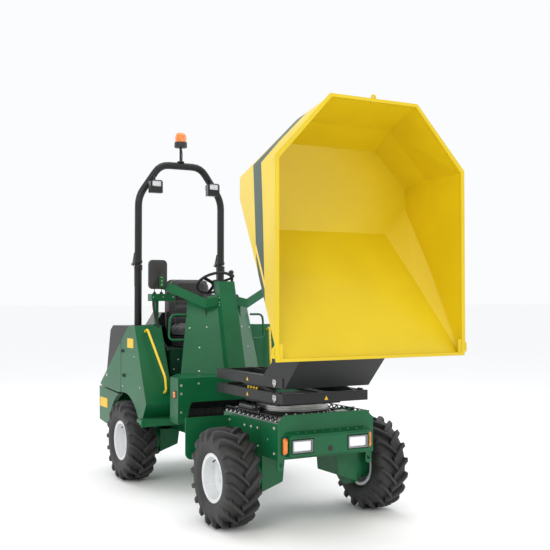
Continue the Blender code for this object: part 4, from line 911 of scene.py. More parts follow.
wormValues = dict(x=-0.325, z=0.808, capY=0.1105, screwY=0.0985, screwCircle=0.024)
w = wormValues
cap = turned(
    [
        (0, 0.036), (0.004, 0.0365), (0.010, 0.035), (0.012, 0.031), (0.013, 0.012), (0.017, 0.012),
        (0.018, 0.004)
    ],
    at(w["x"], w["capY"], w["z"]), (0, -1, 0), 36
)
piece("wormMotorCap", cap, look["plastic"], "front_section", 35)
wormBolts = places([
    (w["x"] + w["screwCircle"] * math.cos(a), w["screwY"], w["z"] + w["screwCircle"] * math.sin(a))
    for a in (0.8, 2.4, 3.9, 5.5)
])
piece("wormMotorBolts", bolts(wormBolts, (0, -1, 0), 0.0038, 0.005), look["zinc"], "front_section", 30)


def fitting(place, normal, size=0.011):
    # a hose end: a hexagon nut, a collar and a crimped sleeve in a row along its direction
    nut = stamped([(0, size), (size * 1.2, size), (size * 1.35, size * 0.85)], [place], normal, 6)
    sleeve = stamped(
        [
            (size * 1.2, size * 0.7), (size * 1.8, size * 0.7), (size * 1.9, size * 0.9),
            (size * 2.6, size * 0.9), (size * 2.7, size * 0.78), (size * 3.4, size * 0.9),
            (size * 4.0, size * 0.86)
        ],
        [place], normal, 16
    )
    return [nut, sleeve]


valveValues = dict(hoses=3, startX=0.170, step=0.03, hoseRadius=0.0065, deckZ=0.7725)
v = valveValues
block = slab(at(0.20, -0.235, 0.785), *alongFloor, 0.10, 0.055, 0.042, 0.005, 0.003)
piece("deckValveBlock", block, look["steel"], "front_section")
ports = [v["startX"] + v["step"] * k for k in range(v["hoses"])]
ends = [fitting(at(x, -0.262, 0.790), (0, -1, 0), 0.0085) for x in ports]
piece("deckValveFittings", [shape for pair in ends for shape in pair], look["zinc"], "front_section", 30)
for k, x in enumerate(ports):
    run = [at(x, -0.294, 0.790), at(x + 0.003, -0.318, 0.7875), at(x + 0.035, -0.336, 0.7765)]
    run += [at(x + 0.075, -0.315 + 0.008 * k, v["deckZ"]), at(0.325 + 0.012 * k, -0.22, v["deckZ"])]
    run += [at(0.328 + 0.012 * k, 0.0, v["deckZ"]), at(0.330 + 0.012 * k, 0.30, v["deckZ"])]
    run += [at(0.325 + 0.012 * k, 0.462, v["deckZ"])]
    piece(f"deckHose_{k + 1}", hose(run, v["hoseRadius"], 60), look["hose"], "front_section", 60)

# motor flange screws on the wheel carriers
for end, y, body in (("front", 0.0, "front_section"), ("rear", 1.959, "rear_section")):
    for side, hand in sides:
        angle = np.linspace(0, 2 * np.pi, 10, endpoint=False)
        ring = places([(side * 0.4455, y + 0.132 * math.cos(a), 0.355 + 0.132 * math.sin(a)) for a in angle])
        piece(
            f"motorFlangeBolts_{end}_{hand}", bolts(ring, (side, 0, 0), 0.0075, 0.009), look["zinc"], body, 30
        )
print("front section dressed")


def keeper(name, x, y, z, side, body):
    # a five-sided plate with three bolts that locks a pivot pin
    outline = np.array([(-0.026, 0.020), (0.022, 0.024), (0.030, 0.000), (0.004, -0.032), (-0.024, -0.012)])
    corners = np.stack([np.full(5, x), y + axleY + outline[:, 0], z + outline[:, 1]], -1)
    piece(name, panel(corners, 0.006, (side, 0, 0)), look["zinc"], body, 30, bevel=0.0012)
    spots = ((-0.012, 0.010), (0.014, 0.008), (0.003, -0.014))
    marks = np.array([[x + side * 0.006, y + axleY + dy, z + dz] for dy, dz in spots])
    piece(name + "Bolts", bolts(marks, (side, 0, 0), 0.0058, 0.005), look["steel"], body, 30)


def signPlate(name, centre, across, up, body):
    # a small blank triangle sign
    across, up = np.asarray(across, float), np.asarray(up, float)
    corners = [centre + across * 0.016 - up * 0.012, centre - across * 0.016 - up * 0.012, centre + up * 0.017]
    piece(name, panel(corners, 0.0012, np.cross(across, up)), look["plateYellow"], body)


frameValues = dict(face=0.3602, keeperY=-0.25, keeperZ=(0.924, 1.033), signY=0.18, signZ=(0.918, 1.030))
levels = (("Low", "turntable"), ("High", "upper_lift"))
v = frameValues
for side, hand in sides:
    for k, (level, body) in enumerate(levels):
        keeper(f"keeper{level}_{hand}", side * v["face"], v["keeperY"], v["keeperZ"][k], side, body)
    for k, (level, body) in enumerate(levels):
        middle = at(side * v["face"], v["signY"], v["signZ"][k])
        signPlate(f"sign{level}_{hand}", middle, (0, -side, 0), (0, 0, 1), body)
signPlate("signFrontLow", at(0.0, -v["face"], v["signZ"][0]), *alongFront, "turntable")


def coilSpring(centre, axis, length, radius, wire, turns):
    # a wire of small radius carried along a helix: centre + radius*(cos, sin) + pitch*angle
    angle = np.linspace(0, 2 * np.pi * turns, int(turns * 14))
    u, v, n = basis(axis)
    share = angle / angle[-1] - 0.5
    path = np.asarray(centre) + radius * (
        np.cos(angle)[:, None] * u + np.sin(angle)[:, None] * v
    ) + share[:, None] * length * n
    return swept(path, roundSection(wire, 6))


springValues = dict(
    count=4, x=0.347, startY=0.05, step=0.045, z=0.970, length=0.018, radius=0.007, wire=0.0022, turns=3.5
)
for side, hand in sides:
    v = springValues
    for k in range(v["count"]):
        middle = at(side * v["x"], v["startY"] + v["step"] * k, v["z"])
        spring = coilSpring(middle, (0, 0, 1), v["length"], v["radius"], v["wire"], v["turns"])
        piece(f"bufferSpring_{hand}_{k + 1}", spring, look["railYellow"], "turntable", 60)
    pads = [
        slab(at(side * v["x"], y, 0.9645), (0, 1, 0), (1, 0, 0), 0.05, 0.02, 0.009, 0.003)
        for y in (-0.28, 0.55)
    ]
    piece(f"restPads_{hand}", pads, look["hose"], "turntable")
    pins = [
        stamped(
            [(0, 0.024), (0.003, 0.024), (0.006, 0.021), (0.006, 0.010), (0.010, 0.009)],
            [at(side * 0.3545, -0.55, 1.30)], (side, 0, 0), 28
        )
    ]
    piece(f"skipPivotCap_{hand}", pins, look["zinc"], "upper_lift", 30)
hoseRuns = [
    [
        (0.105, 0.42, 0.925), (0.11, 0.30, 0.935), (0.12, 0.10, 0.930), (0.13, -0.12, 0.925),
        (0.11, -0.26, 0.930), (0.05, -0.315, 0.935), (-0.06, -0.318, 0.935), (-0.16, -0.31, 0.93)
    ],
    [
        (0.125, 0.42, 0.925), (0.13, 0.30, 0.940), (0.14, 0.10, 0.935), (0.15, -0.10, 0.930),
        (0.13, -0.24, 0.938), (0.07, -0.300, 0.944), (-0.04, -0.300, 0.944), (-0.14, -0.292, 0.94)
    ],
]
for k, run in enumerate(hoseRuns):
    piece(f"liftHose_{k + 1}", hose(places(run), 0.0075, 60), look["hose"], "turntable", 60)
    piece(
        f"liftHoseEnds_{k + 1}",
        fitting(at(*run[-1]), (-1, 0, 0), 0.011) + fitting(at(*run[0]), (0, 1, 0), 0.011), look["zinc"],
        "turntable", 30
    )
print("lift dressed")


def eyePlate(name, corners, hole, thickness, normal, material, body, holeRadius):
    # an outline around a round hole: matching rings of points, hole and outline, back and front
    corners = np.asarray(corners, float)
    normal = np.asarray(normal, float)
    u, v, n = basis(normal)
    u, v, n = u[0], v[0], n[0]
    hole = np.asarray(hole, float)
    flat = np.stack([(corners - hole) @ u, (corners - hole) @ v], -1)
    angle = np.linspace(-np.pi, np.pi, 49)[:-1]
    ray = np.stack([np.cos(angle), np.sin(angle)], -1)
    nextCorner = np.roll(flat, -1, axis=0)
    edge = nextCorner - flat
    cross = ray[:, None, 0] * edge[None, :, 1] - ray[:, None, 1] * edge[None, :, 0]
    along = (
        flat[None, :, 0] * edge[None, :, 1] - flat[None, :, 1] * edge[None, :, 0]
    ) / np.where(np.abs(cross) < 1e-12, 1e-12, cross)
    share = (
        flat[None, :, 0] * ray[:, None, 1] - flat[None, :, 1] * ray[:, None, 0]
    ) / np.where(np.abs(cross) < 1e-12, 1e-12, cross)
    ok = (along > 0) & (share >= -1e-6) & (share <= 1 + 1e-6)
    reach = np.where(ok, along, 1e9).min(axis=1)
    inner, outer = ray * holeRadius, ray * reach[:, None]
    layers = (
        (inner, 0), (inner, thickness), (outer * 0.985, thickness), (outer, thickness * 0.8),
        (outer, thickness * 0.2), (outer * 0.985, 0)
    )
    rings = [hole + ring[:, :1] * u + ring[:, 1:] * v + n * level for ring, level in layers]
    piece(name, loftRings(rings, closed=True), material, body, 35)


skipValues = dict(mouthY=-0.97, tabX=-0.005, tabHalf=0.022, tabTop=2.990)
v = skipValues
tab = places([
    (v["tabX"] - v["tabHalf"], v["mouthY"] + 0.012, 2.930),
    (v["tabX"] + v["tabHalf"], v["mouthY"] + 0.012, 2.930),
    (v["tabX"] + v["tabHalf"] * 0.8, v["mouthY"] + 0.012, v["tabTop"] - 0.008),
    (v["tabX"], v["mouthY"] + 0.012, v["tabTop"]),
    (v["tabX"] - v["tabHalf"] * 0.8, v["mouthY"] + 0.012, v["tabTop"] - 0.008)
])
eyePlate(
    "skipLiftingTab", tab, at(v["tabX"], v["mouthY"] + 0.012, 2.972), 0.010, (0, -1, 0), look["skipYellow"],
    "tipping_skip", 0.007
)
for side, hand in sides:
    cornerEar = places([
        (side * 0.700, -0.962, 1.245), (side * 0.775, -0.962, 1.262), (side * 0.775, -0.962, 1.322),
        (side * 0.745, -0.962, 1.350), (side * 0.700, -0.962, 1.350)
    ])
    if side > 0:
        cornerEar = cornerEar[::-1]
    eyePlate(
        f"skipCornerEar_{hand}", cornerEar, at(side * 0.756, -0.962, 1.292), 0.012, (0, -1, 0),
        look["skipYellow"], "tipping_skip", 0.008
    )
print("skip dressed")


mirrorValues = dict(x=0.60, z=1.84, wide=0.150, high=0.232, frontY=1.385, backY=1.415)
for side, hand in sides:
    v = mirrorValues
    rings = []
    for y, size, corner in (
        (v["backY"] + 0.0045, 1.0, 0.034), (v["backY"] - 0.004, 1.03, 0.036),
        (v["frontY"] + 0.010, 1.03, 0.036), (v["frontY"] - 0.001, 0.99, 0.034),
        (v["frontY"] - 0.012, 0.72, 0.018), (v["frontY"] - 0.026, 0.28, 0.006)
    ):
        flat = roundedOutline((v["wide"] + 0.012) * size, (v["high"] + 0.012) * size, corner * min(size, 1))
        middle = at(side * v["x"], y, v["z"] + (1 - size) * 0.012)
        rings.append(
            np.stack([middle[0] + flat[:, 0], np.full(len(flat), middle[1]), middle[2] + flat[:, 1]], -1)
        )
    piece(f"mirrorShell_{hand}", loftRings(rings), look["plastic"], "rear_section", 25)
    glass = slab(
        at(side * v["x"], v["backY"] + 0.0052, v["z"]), *alongRear, v["wide"] - 0.012, v["high"] - 0.012, 0.002,
        0.028, 0.0006
    )
    piece(f"mirrorGlass_{hand}", glass, look["mirror"], "rear_section")
    clampX = side * (v["x"] - 0.018)
    bracket = slab(at(clampX, v["frontY"] - 0.030, 1.782), *alongFront, 0.040, 0.105, 0.008, 0.004)
    piece(f"mirrorBracket_{hand}", bracket, look["machineGreen"], "rear_section")
    marks = places([
        (clampX, v["frontY"] - 0.034, 1.752), (clampX, v["frontY"] - 0.034, 1.784),
        (clampX, v["frontY"] - 0.034, 1.816)
    ])
    piece(f"mirrorBolts_{hand}", bolts(marks, (0, -1, 0), 0.0042, 0.005), look["zinc"], "rear_section", 30)
    knuckle = stamped(
        [(-0.008, 0.012), (0.004, 0.015), (0.012, 0.011), (0.016, 0.005)],
        [at(clampX, v["frontY"] - 0.034, 1.833)], (0, -1, 0), 20
    )
    piece(f"mirrorKnuckle_{hand}", knuckle, look["plastic"], "rear_section")
    armMarks = places([(side * 0.0795, 1.262, z) for z in (1.575, 1.600, 1.640)])
    piece(f"armRootBolts_{hand}", domes(armMarks, (side, -0.15, 0), 0.006), look["zinc"], "rear_section")

scan = bpy.context.evaluated_depsgraph_get()
landingNodes = [
    "console", "bulkhead", "seat_box", "hood", "rear_body", "fender_right", "fender_left", "hood_side_right",
    "hood_side_left", "floor_plate", "dashboard"
]
trees = {name: BVHTree.FromObject(nodes[name], scan) for name in landingNodes}


def landing(name, start, way):
    # where a line first meets a node, and the surface direction there
    hit, normal = trees[name].ray_cast(Vector(start), Vector(way).normalized())[:2]
    if hit is None:
        return None
    normal = np.array(normal)
    if normal @ np.asarray(way) > 0:
        normal = -normal
    return np.array(hit), normal


def boltsOnto(name, onto, starts, way, radius, domed=False):
    # bolt heads where lines from the starts land on a node, each along the surface direction there
    found = [hit for hit in (landing(onto, start, way) for start in starts) if hit]
    spots, normals = np.array([f[0] for f in found]), np.array([f[1] for f in found])
    shapes = domes(spots, normals, radius) if domed else bolts(spots, normals, radius)
    piece(name, shapes, look["zinc"], "rear_section", 30)


def mirrored(side, y, marks):
    # (x, z) marks at one depth, on this side of the machine
    return places([(side * x, y, z) for x, z in marks])


wingMarks = [(0.255, 1.004), (0.292, 1.374), (0.170, 1.383), (0.236, 1.206)]
bulkheadMarks = [(0.556, 0.921), (0.556, 0.852), (0.556, 0.700), (0.40, 0.93), (0.40, 0.66)]
seatBoxMarks = [(0.30, 1.086), (0.17, 1.054), (0.17, 0.985), (0.34, 1.00), (0.06, 1.12)]
markerValues = dict(y=1.045, z=0.842, frameX=0.5858, frame=(0.052, 0.066), lensX=0.5900, lens=(0.038, 0.052))
for side, hand in sides:
    v = markerValues
    starts = mirrored(side, 0.6, wingMarks)
    boltsOnto(f"wingBolts_{hand}", "console", starts, (0, 1, 0), 0.0075, domed=True)
    starts = mirrored(side, 0.5, bulkheadMarks)
    boltsOnto(f"bulkheadBolts_{hand}", "bulkhead", starts, (0, 1, 0), 0.0075)
    markerAt = at(side * v["frameX"], v["y"], v["z"])
    markerFrame = slab(markerAt, (0, side, 0), (0, 0, 1), *v["frame"], 0.008, 0.006)
    piece(f"sideMarkerFrame_{hand}", markerFrame, look["plastic"], "rear_section")
    markerAt = at(side * v["lensX"], v["y"], v["z"])
    markerLens = bulged(markerAt, (0, side, 0), (0, 0, 1), *v["lens"], 0.010, 0.006)
    piece(f"sideMarkerLens_{hand}", markerLens, look["amber"], "rear_section", 25)
    starts = mirrored(side, 1.2, seatBoxMarks)
    boltsOnto(f"seatBoxBolts_{hand}", "seat_box", starts, (0, 1, 0), 0.0065, domed=True)

dashValues = dict(
    display=(0.070, 0.048), glass=(0.060, 0.038), switches=(-0.075, 0.075), lights=(-0.03, -0.01, 0.01, 0.03),
    lightsUp=0.034
)
spot = landing("dashboard", at(0, 1.9, 2.1), (0, -0.55, -0.62))
if spot:
    v = dashValues
    place, normal = spot
    u, w, n = basis(normal)
    across, upward = u[0], w[0]
    if upward[2] < 0:
        across, upward = -across, -upward
    screen = slab(place + normal * 0.0025, across, upward, *v["display"], 0.006, 0.006)
    piece("dashDisplay", screen, look["plastic"], "rear_section")
    glass = slab(place + normal * 0.0058, across, upward, *v["glass"], 0.0012, 0.004, 0.0004)
    piece("dashDisplayGlass", glass, look["mirror"], "rear_section")
    for k, offset in enumerate(v["switches"]):
        knob = stamped(
            [(0, 0.014), (0.003, 0.014), (0.004, 0.009), (0.016, 0.008), (0.018, 0.006)],
            [place + across * offset], normal, 18
        )
        piece(f"dashSwitch_{k + 1}", knob, look["grip"], "rear_section")
    lights = stamped(
        [(0, 0.004), (0.002, 0.004), (0.003, 0.002)],
        [place + across * x + upward * v["lightsUp"] for x in v["lights"]], normal, 10
    )
    piece("dashTellTales", lights, look["amber"], "rear_section")

steerValues = dict(y=1.53, z=1.775, tilt=33, knobX=0.125, knobUp=-0.118)
v = steerValues
wheelMiddle, wheelTilt = at(0, v["y"], v["z"]), math.radians(v["tilt"])
wheelAxis = np.array([0, math.sin(wheelTilt), math.cos(wheelTilt)])
knobRoot = wheelMiddle + [v["knobX"], 0, 0] + np.cross(wheelAxis, (1, 0, 0)) * v["knobUp"]
knob = turned(
    [
        (0.000, 0.010), (0.012, 0.009), (0.016, 0.010), (0.022, 0.020), (0.034, 0.025), (0.046, 0.021),
        (0.052, 0.010), (0.053, 0.002)
    ],
    knobRoot, wheelAxis, 24
)
clamp = turned([(-0.014, 0.018), (-0.012, 0.020), (0.004, 0.020), (0.006, 0.016)], knobRoot, wheelAxis, 20)
piece("wheelKnob", [knob, clamp], look["plastic"], "hand_wheel", 35)

leverValues = dict(places=(-0.065, 0.0, 0.065), leans=(0.15, -0.1, 0.1))
leverLow, leverHigh = (np.array(c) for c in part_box("lever_console"))
padMiddle = np.array([(leverLow[0] + leverHigh[0]) / 2, (leverLow[1] + leverHigh[1]) / 2, leverHigh[2]])
for k, (dx, lean) in enumerate(zip(leverValues["places"], leverValues["leans"])):
    root = padMiddle + [dx, 0, 0]
    boot = turned(
        [
            (-0.001, 0.019), (0.003, 0.019), (0.006, 0.014), (0.009, 0.016), (0.012, 0.011), (0.015, 0.012),
            (0.020, 0.006)
        ],
        root, (0, 0, 1), 20
    )
    way = np.array([0, lean, 1.0]) / math.hypot(lean, 1)
    stick = rod(root + way * 0.015, root + way * 0.060, 0.0035, 10)
    grip = turned(
        [(0, 0.006), (0.004, 0.009), (0.016, 0.012), (0.028, 0.011), (0.034, 0.006), (0.035, 0.002)],
        root + way * 0.055, way, 16
    )
    piece(f"lever_{k + 1}", [boot, stick, grip], look["grip"], "rear_section", 35)
marks = np.array([
    [leverLow[0] + 0.015, leverLow[1], leverHigh[2] - 0.03],
    [leverHigh[0] - 0.015, leverLow[1], leverHigh[2] - 0.03], [padMiddle[0], leverLow[1], leverHigh[2] - 0.03]
])
piece("leverConsoleBolts", domes(marks, (0, -1, 0), 0.005), look["zinc"], "rear_section")


def corrugated(points, radius, pitch=0.008, count=260):
    # a tube whose radius ripples along its length: r * (1 + 0.12 cos(2 pi distance / pitch))
    path = smoothLine(points, count)
    distance = np.concatenate([[0], np.cumsum(np.linalg.norm(np.diff(path, axis=0), axis=1))])
    verts, faces = swept(path, roundSection(radius, 12))
    grid = verts.reshape(count, 12, 3)
    ripple = 1 + 0.12 * np.cos(2 * np.pi * distance / pitch)
    grid = path[:, None] + (grid - path[:, None]) * ripple[:, None, None]
    return grid.reshape(-1, 3), faces


sleevePath = [
    (-0.505, 1.745, 1.612), (-0.512, 1.722, 1.56), (-0.505, 1.706, 1.48), (-0.484, 1.695, 1.40),
    (-0.462, 1.690, 1.32), (-0.440, 1.676, 1.25), (-0.418, 1.662, 1.20), (-0.400, 1.655, 1.165)
]
piece("leverHarnessSleeve", corrugated(places(sleevePath), 0.011), look["hose"], "rear_section", 60)

stepValues = dict(innerX=0.45, outerX=0.75, startY=1.37, endY=1.48, topZ=0.6042, across=12, along=5)
for side, hand in sides:
    v = stepValues
    lowX, highX = sorted((side * v["innerX"], side * v["outerX"]))
    stepLow, stepHigh = at(lowX, v["startY"], v["topZ"]), at(highX, v["endY"], v["topZ"])
    xs, ys = np.meshgrid(
        np.linspace(stepLow[0] + 0.02, stepHigh[0] - 0.02, v["across"]),
        np.linspace(stepLow[1] + 0.014, stepHigh[1] - 0.014, v["along"])
    )
    studs = np.stack([xs.ravel(), ys.ravel(), np.full(xs.size, v["topZ"])], -1)
    piece(
        f"stepStuds_{hand}",
        stamped([(0, 0.0065), (0.0018, 0.0060), (0.0026, 0.0042), (0.0016, 0.0030)], studs, (0, 0, 1), 12),
        look["machineGreen"], "rear_section", 30
    )
matValues = dict(width=0.86, length=0.48, middleY=1.41, z=0.6325, across=24, along=12)
v = matValues
acrossMat, alongMat = np.meshgrid(np.linspace(-0.40, 0.40, v["across"]), np.linspace(1.20, 1.62, v["along"]))
shift = (np.arange(v["along"]) % 2)[:, None] * 0.0087  # every other row of studs moves over by half a step
studs = np.stack(
    [(acrossMat + shift).ravel(), (alongMat + axleY).ravel(), np.full(acrossMat.size, v["z"] + 0.002)], -1
)
piece(
    "floorMat", slab(at(0, v["middleY"], v["z"]), *alongFloor, v["width"], v["length"], 0.004, 0.02, 0.001),
    look["hose"], "rear_section"
)
piece(
    "floorMatStuds", stamped([(0, 0.009), (0.0012, 0.0085), (0.0020, 0.006)], studs, (0, 0, 1), 10),
    look["hose"], "rear_section", 30
)
pedalValues = dict(places=(0.12, 0.24), y=1.195, z=0.725, tread=(0.075, 0.10, 0.010), rise=(0, 0.42, 0.9))
v = pedalValues
pedals = []
for x in v["places"]:
    middle = at(x, v["y"], v["z"])
    pedals.append(slab(middle, (1, 0, 0), v["rise"], *v["tread"], 0.008))
    pedals.append(rod(middle + [0, -0.005, 0], at(x, 1.155, 0.69), 0.007, 10))
piece("footPedals", pedals, look["grip"], "rear_section")
print("driver's place dressed")


seatValues = dict(voxel=0.006, pressure=4.0, frames=20, cap=0.012, sideInset=0.006, sideWidth=0.085, fill=0.75)


def power(values, exponent):
    # sign(a) * |a| ^ p, so that a curve keeps its halves
    return np.sign(values) * np.abs(values) ** exponent


def cushionShell(low, high, crown, axis, rows=26, cols=26, waist=0.04):
    # a squashed superellipse ball: |x/a|^n + |y/b|^n + |z/c|^m = 1 stretched over the box, its
    # top raised by a crown that falls away from the middle, and its sides drawn in at mid length
    low, high = np.asarray(low, float), np.asarray(high, float)
    centre, half = (low + high) / 2, (high - low) / 2
    v = np.linspace(-np.pi / 2, np.pi / 2, rows)
    u = np.linspace(-np.pi, np.pi, cols * 2, endpoint=False)
    cosV, sinV = power(np.cos(v), 0.28)[:, None], power(np.sin(v), 0.55)[:, None]
    flatA, flatB = power(np.cos(u), 0.30)[None], power(np.sin(u), 0.30)[None]
    shape = [cosV * flatA, cosV * flatB, sinV * np.ones_like(flatA)]
    order = [k for k in range(3) if k != axis] + [axis]
    grid = np.empty((rows, cols * 2, 3))
    for k, values in zip(order, shape):
        grid[..., k] = values
    a, b = grid[..., order[0]], grid[..., order[1]]
    grid[..., order[0]] = a * (1 - waist * (1 - b**2) * (np.abs(a) > 0.5))
    grid[..., order[2]] += crown * (1 - a**2) * (1 - b**2) * (grid[..., order[2]] > 0)
    points = centre + grid * half
    return points[1:-1].reshape(-1, 3), gridFaces(rows - 2, cols * 2) + [
        list(range(cols * 2)), list(range((rows - 3) * cols * 2, (rows - 2) * cols * 2))
    ]


def sidePads(low, high, alongY, alongZ, axis, rows):
    # two long pads along the sides of a box, with the ends moved in by the amounts along y and z
    v = seatValues
    spans = (
        (low[0] + v["sideInset"], low[0] + v["sideWidth"]), (high[0] - v["sideWidth"], high[0] - v["sideInset"])
    )
    start = [low[1] + alongY[0], low[2] + alongZ[0]]
    end = [high[1] + alongY[1], high[2] + alongZ[1]]
    return [cushionShell([a, *start], [b, *end], 0.1, axis, rows, 12) for a, b in spans]


def puffed(name, shapes, channels, material):
    # remeshed, blown up a little as cloth, held within the cap, then creased along the channels
    v = seatValues
    mesh = outwardMesh(name, shapes)
    mesh.materials.append(material)
    made = linked(name, mesh)
    voxels = made.modifiers.new("voxels", "REMESH")
    voxels.mode, voxels.voxel_size = "VOXEL", v["voxel"]
    settle(made)
    before = pointsOf(made)
    cloth = made.modifiers.new("padding", "CLOTH")
    cloth.settings.use_pressure, cloth.settings.uniform_pressure_force = True, v["pressure"]
    cloth.settings.effector_weights.gravity = 0
    cloth.settings.quality = 5
    cloth.point_cache.frame_start, cloth.point_cache.frame_end = 1, v["frames"]
    for frameNumber in range(1, v["frames"] + 1):
        bpy.context.scene.frame_set(frameNumber)
    blown = evaluatedPoints(made)
    made.modifiers.remove(cloth)
    bpy.context.scene.frame_set(1)
    move = blown - before
    length = np.linalg.norm(move, axis=1, keepdims=True)
    before = before + move * np.minimum(1, v["cap"] / np.maximum(length, 1e-9))
    setPoints(made, creased(before, channels))
    finer = made.modifiers.new("finer", "SUBSURF")
    finer.levels = finer.render_levels = 1
    settle(made)
    made.data.materials.clear()
    made.data.materials.append(material)
    made.data.shade_smooth()
    return made


def settle(made):
    # the modifiers' result becomes the mesh itself
    graph = bpy.context.evaluated_depsgraph_get()
    result = bpy.data.meshes.new_from_object(made.evaluated_get(graph))
    made.modifiers.clear()
    old = made.data
    made.data = result
    bpy.data.meshes.remove(old)
    bpy.context.view_layer.update()


def pointsOf(made):
    # every mesh point as one array
    flat = np.empty(len(made.data.vertices) * 3)
    made.data.vertices.foreach_get("co", flat)
    return flat.reshape(-1, 3)


def evaluatedPoints(made):
    # the same, with the modifiers' result at this frame
    result = made.evaluated_get(bpy.context.evaluated_depsgraph_get()).data
    flat = np.empty(len(result.vertices) * 3)
    result.vertices.foreach_get("co", flat)
    return flat.reshape(-1, 3)


def setPoints(made, points):
    made.data.vertices.foreach_set("co", points.ravel())
    made.data.update()


def creased(points, channels):
    # each channel is a plane crossed by the skin: depth * exp(-(distance / width)^2) pressed inwards
    out = points.copy()
    for axis, place, press, sign, depth, width in channels:
        near = np.exp(-(((points[:, axis] - place) / width) ** 2))
        side = points[:, press] * sign
        top = side > np.median(side)
        out[:, press] -= sign * depth * near * top
    return out


cushionLow, cushionHigh = (np.array(c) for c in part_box("seat_cushion"))
backLow, backHigh = (np.array(c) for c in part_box("seat_back"))
cushion = cushionShell(cushionLow + [0.018, 0.014, 0.004], cushionHigh - [0.018, 0.014, 0.022], 0.20, 2)
bolsters = sidePads(cushionLow, cushionHigh, (0.03, -0.02), (0.012, -0.004), 2, 14)
seatY = [cushionLow[1] + (cushionHigh[1] - cushionLow[1]) * share for share in (0.36, 0.68)]
channels = [(1, y, 2, 1, 0.006, 0.007) for y in seatY]
channels += [(0, side * 0.150, 2, 1, 0.008, 0.008) for side in (-1, 1)]
seatPad = puffed("seatCushionPad", [cushion] + bolsters, channels, look["cover"])
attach(seatPad, "rear_section")
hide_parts("seat_cushion")

backCore = cushionShell(backLow + [0.022, 0.030, 0.006], backHigh - [0.022, 0.008, 0.018], 0.10, 1)
lumbar = cushionShell(
    [backLow[0] + 0.05, backLow[1] + 0.006, backLow[2] + 0.03],
    [backHigh[0] - 0.05, backHigh[1] - 0.05, backLow[2] + 0.27], 0.1, 1, 18, 16
)
wings = sidePads(backLow, backHigh, (0.004, -0.03), (0.04, -0.11), 1, 16)
head = cushionShell(
    [backLow[0] + 0.05, backLow[1] + 0.016, backHigh[2] - 0.19],
    [backHigh[0] - 0.05, backHigh[1] - 0.02, backHigh[2] - 0.006], 0.1, 1, 18, 16
)
channels = [(2, backLow[2] + share * 0.53, 1, -1, 0.008, 0.008) for share in (0.30, 0.60)]
channels += [(0, side * 0.150, 1, -1, 0.006, 0.008) for side in (-1, 1)]
backPad = puffed("seatBackPad", [backCore, lumbar, head] + wings, channels, look["cover"])
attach(backPad, "rear_section")
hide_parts("seat_back")

# under and behind the pads: pan, back pan and bellows, then the belt with its stalks, buckle and reel
piece(
    "seatPan",
    slab(
        ((cushionLow + cushionHigh) / 2 * [1, 1, 0]) + [0, 0, cushionLow[2] + 0.005], *alongFloor, 0.46, 0.40,
        0.016, 0.07, 0.004
    ),
    look["plastic"], "rear_section", 35
)
backPan = slab(
    ((backLow + backHigh) / 2) * [1, 0, 1] + [0, backHigh[1] - 0.010, 0], *alongFront, 0.44, 0.50, 0.018, 0.07,
    0.006
)
piece("seatBackPan", backPan, look["plastic"], "rear_section", 35)
baseLow, baseHigh = (np.array(c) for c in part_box("seat_base"))
folds = []
for k in range(5):
    z = baseLow[2] + 0.012 + k * (baseHigh[2] - baseLow[2] - 0.02) / 5
    folds.append(
        slab(
            ((baseLow + baseHigh) / 2) * [1, 1, 0] + [0, 0, z + 0.008], *alongFloor,
            baseHigh[0] - baseLow[0] + 0.016, baseHigh[1] - baseLow[1] + 0.016, 0.013, 0.03, 0.0055
        )
    )
piece("seatBellows", folds, look["hose"], "rear_section", 50)
for side, hand in sides:
    stalk = rod(at(side * 0.262, 2.02, 1.315), at(side * 0.272, 1.985, 1.455), 0.008, 12)
    piece(f"beltStalk_{hand}", stalk, look["plastic"], "rear_section", 40)
piece(
    "beltBuckle", slab(at(-0.274, 1.975, 1.487), (0.97, -0.2, 0), (0, -0.24, 0.97), 0.030, 0.062, 0.020, 0.007),
    look["plastic"], "rear_section", 35
)
piece(
    "beltButton",
    slab(at(-0.2765, 1.9640, 1.510), (0.97, -0.2, 0), (0, -0.24, 0.97), 0.024, 0.020, 0.005, 0.004, 0.001),
    look["buckle"], "rear_section"
)
reel = turned(
    [(-0.02, 0.030), (-0.018, 0.033), (0.018, 0.033), (0.02, 0.030)], at(0.285, 2.03, 1.36), (1, 0, 0), 28
)
piece("beltReel", reel, look["plastic"], "rear_section", 35)
beltPath = smoothLine(
    places([
        (0.284, 2.00, 1.385), (0.272, 1.96, 1.405), (0.255, 1.925, 1.412), (0.215, 1.905, 1.408),
        (0.10, 1.90, 1.399), (-0.02, 1.905, 1.398), (-0.14, 1.915, 1.402), (-0.215, 1.93, 1.41),
        (-0.252, 1.95, 1.425), (-0.272, 1.966, 1.452)
    ]),
    60
)
beltHalf = dict(width=0.024, thick=0.0009)
w, t = beltHalf["width"], beltHalf["thick"]
belt = swept(beltPath, [(-w, -t), (w, -t), (w, t), (-w, t)])
piece("seatBelt", belt, look["webbing"], "rear_section", 50)
print("seat dressed")


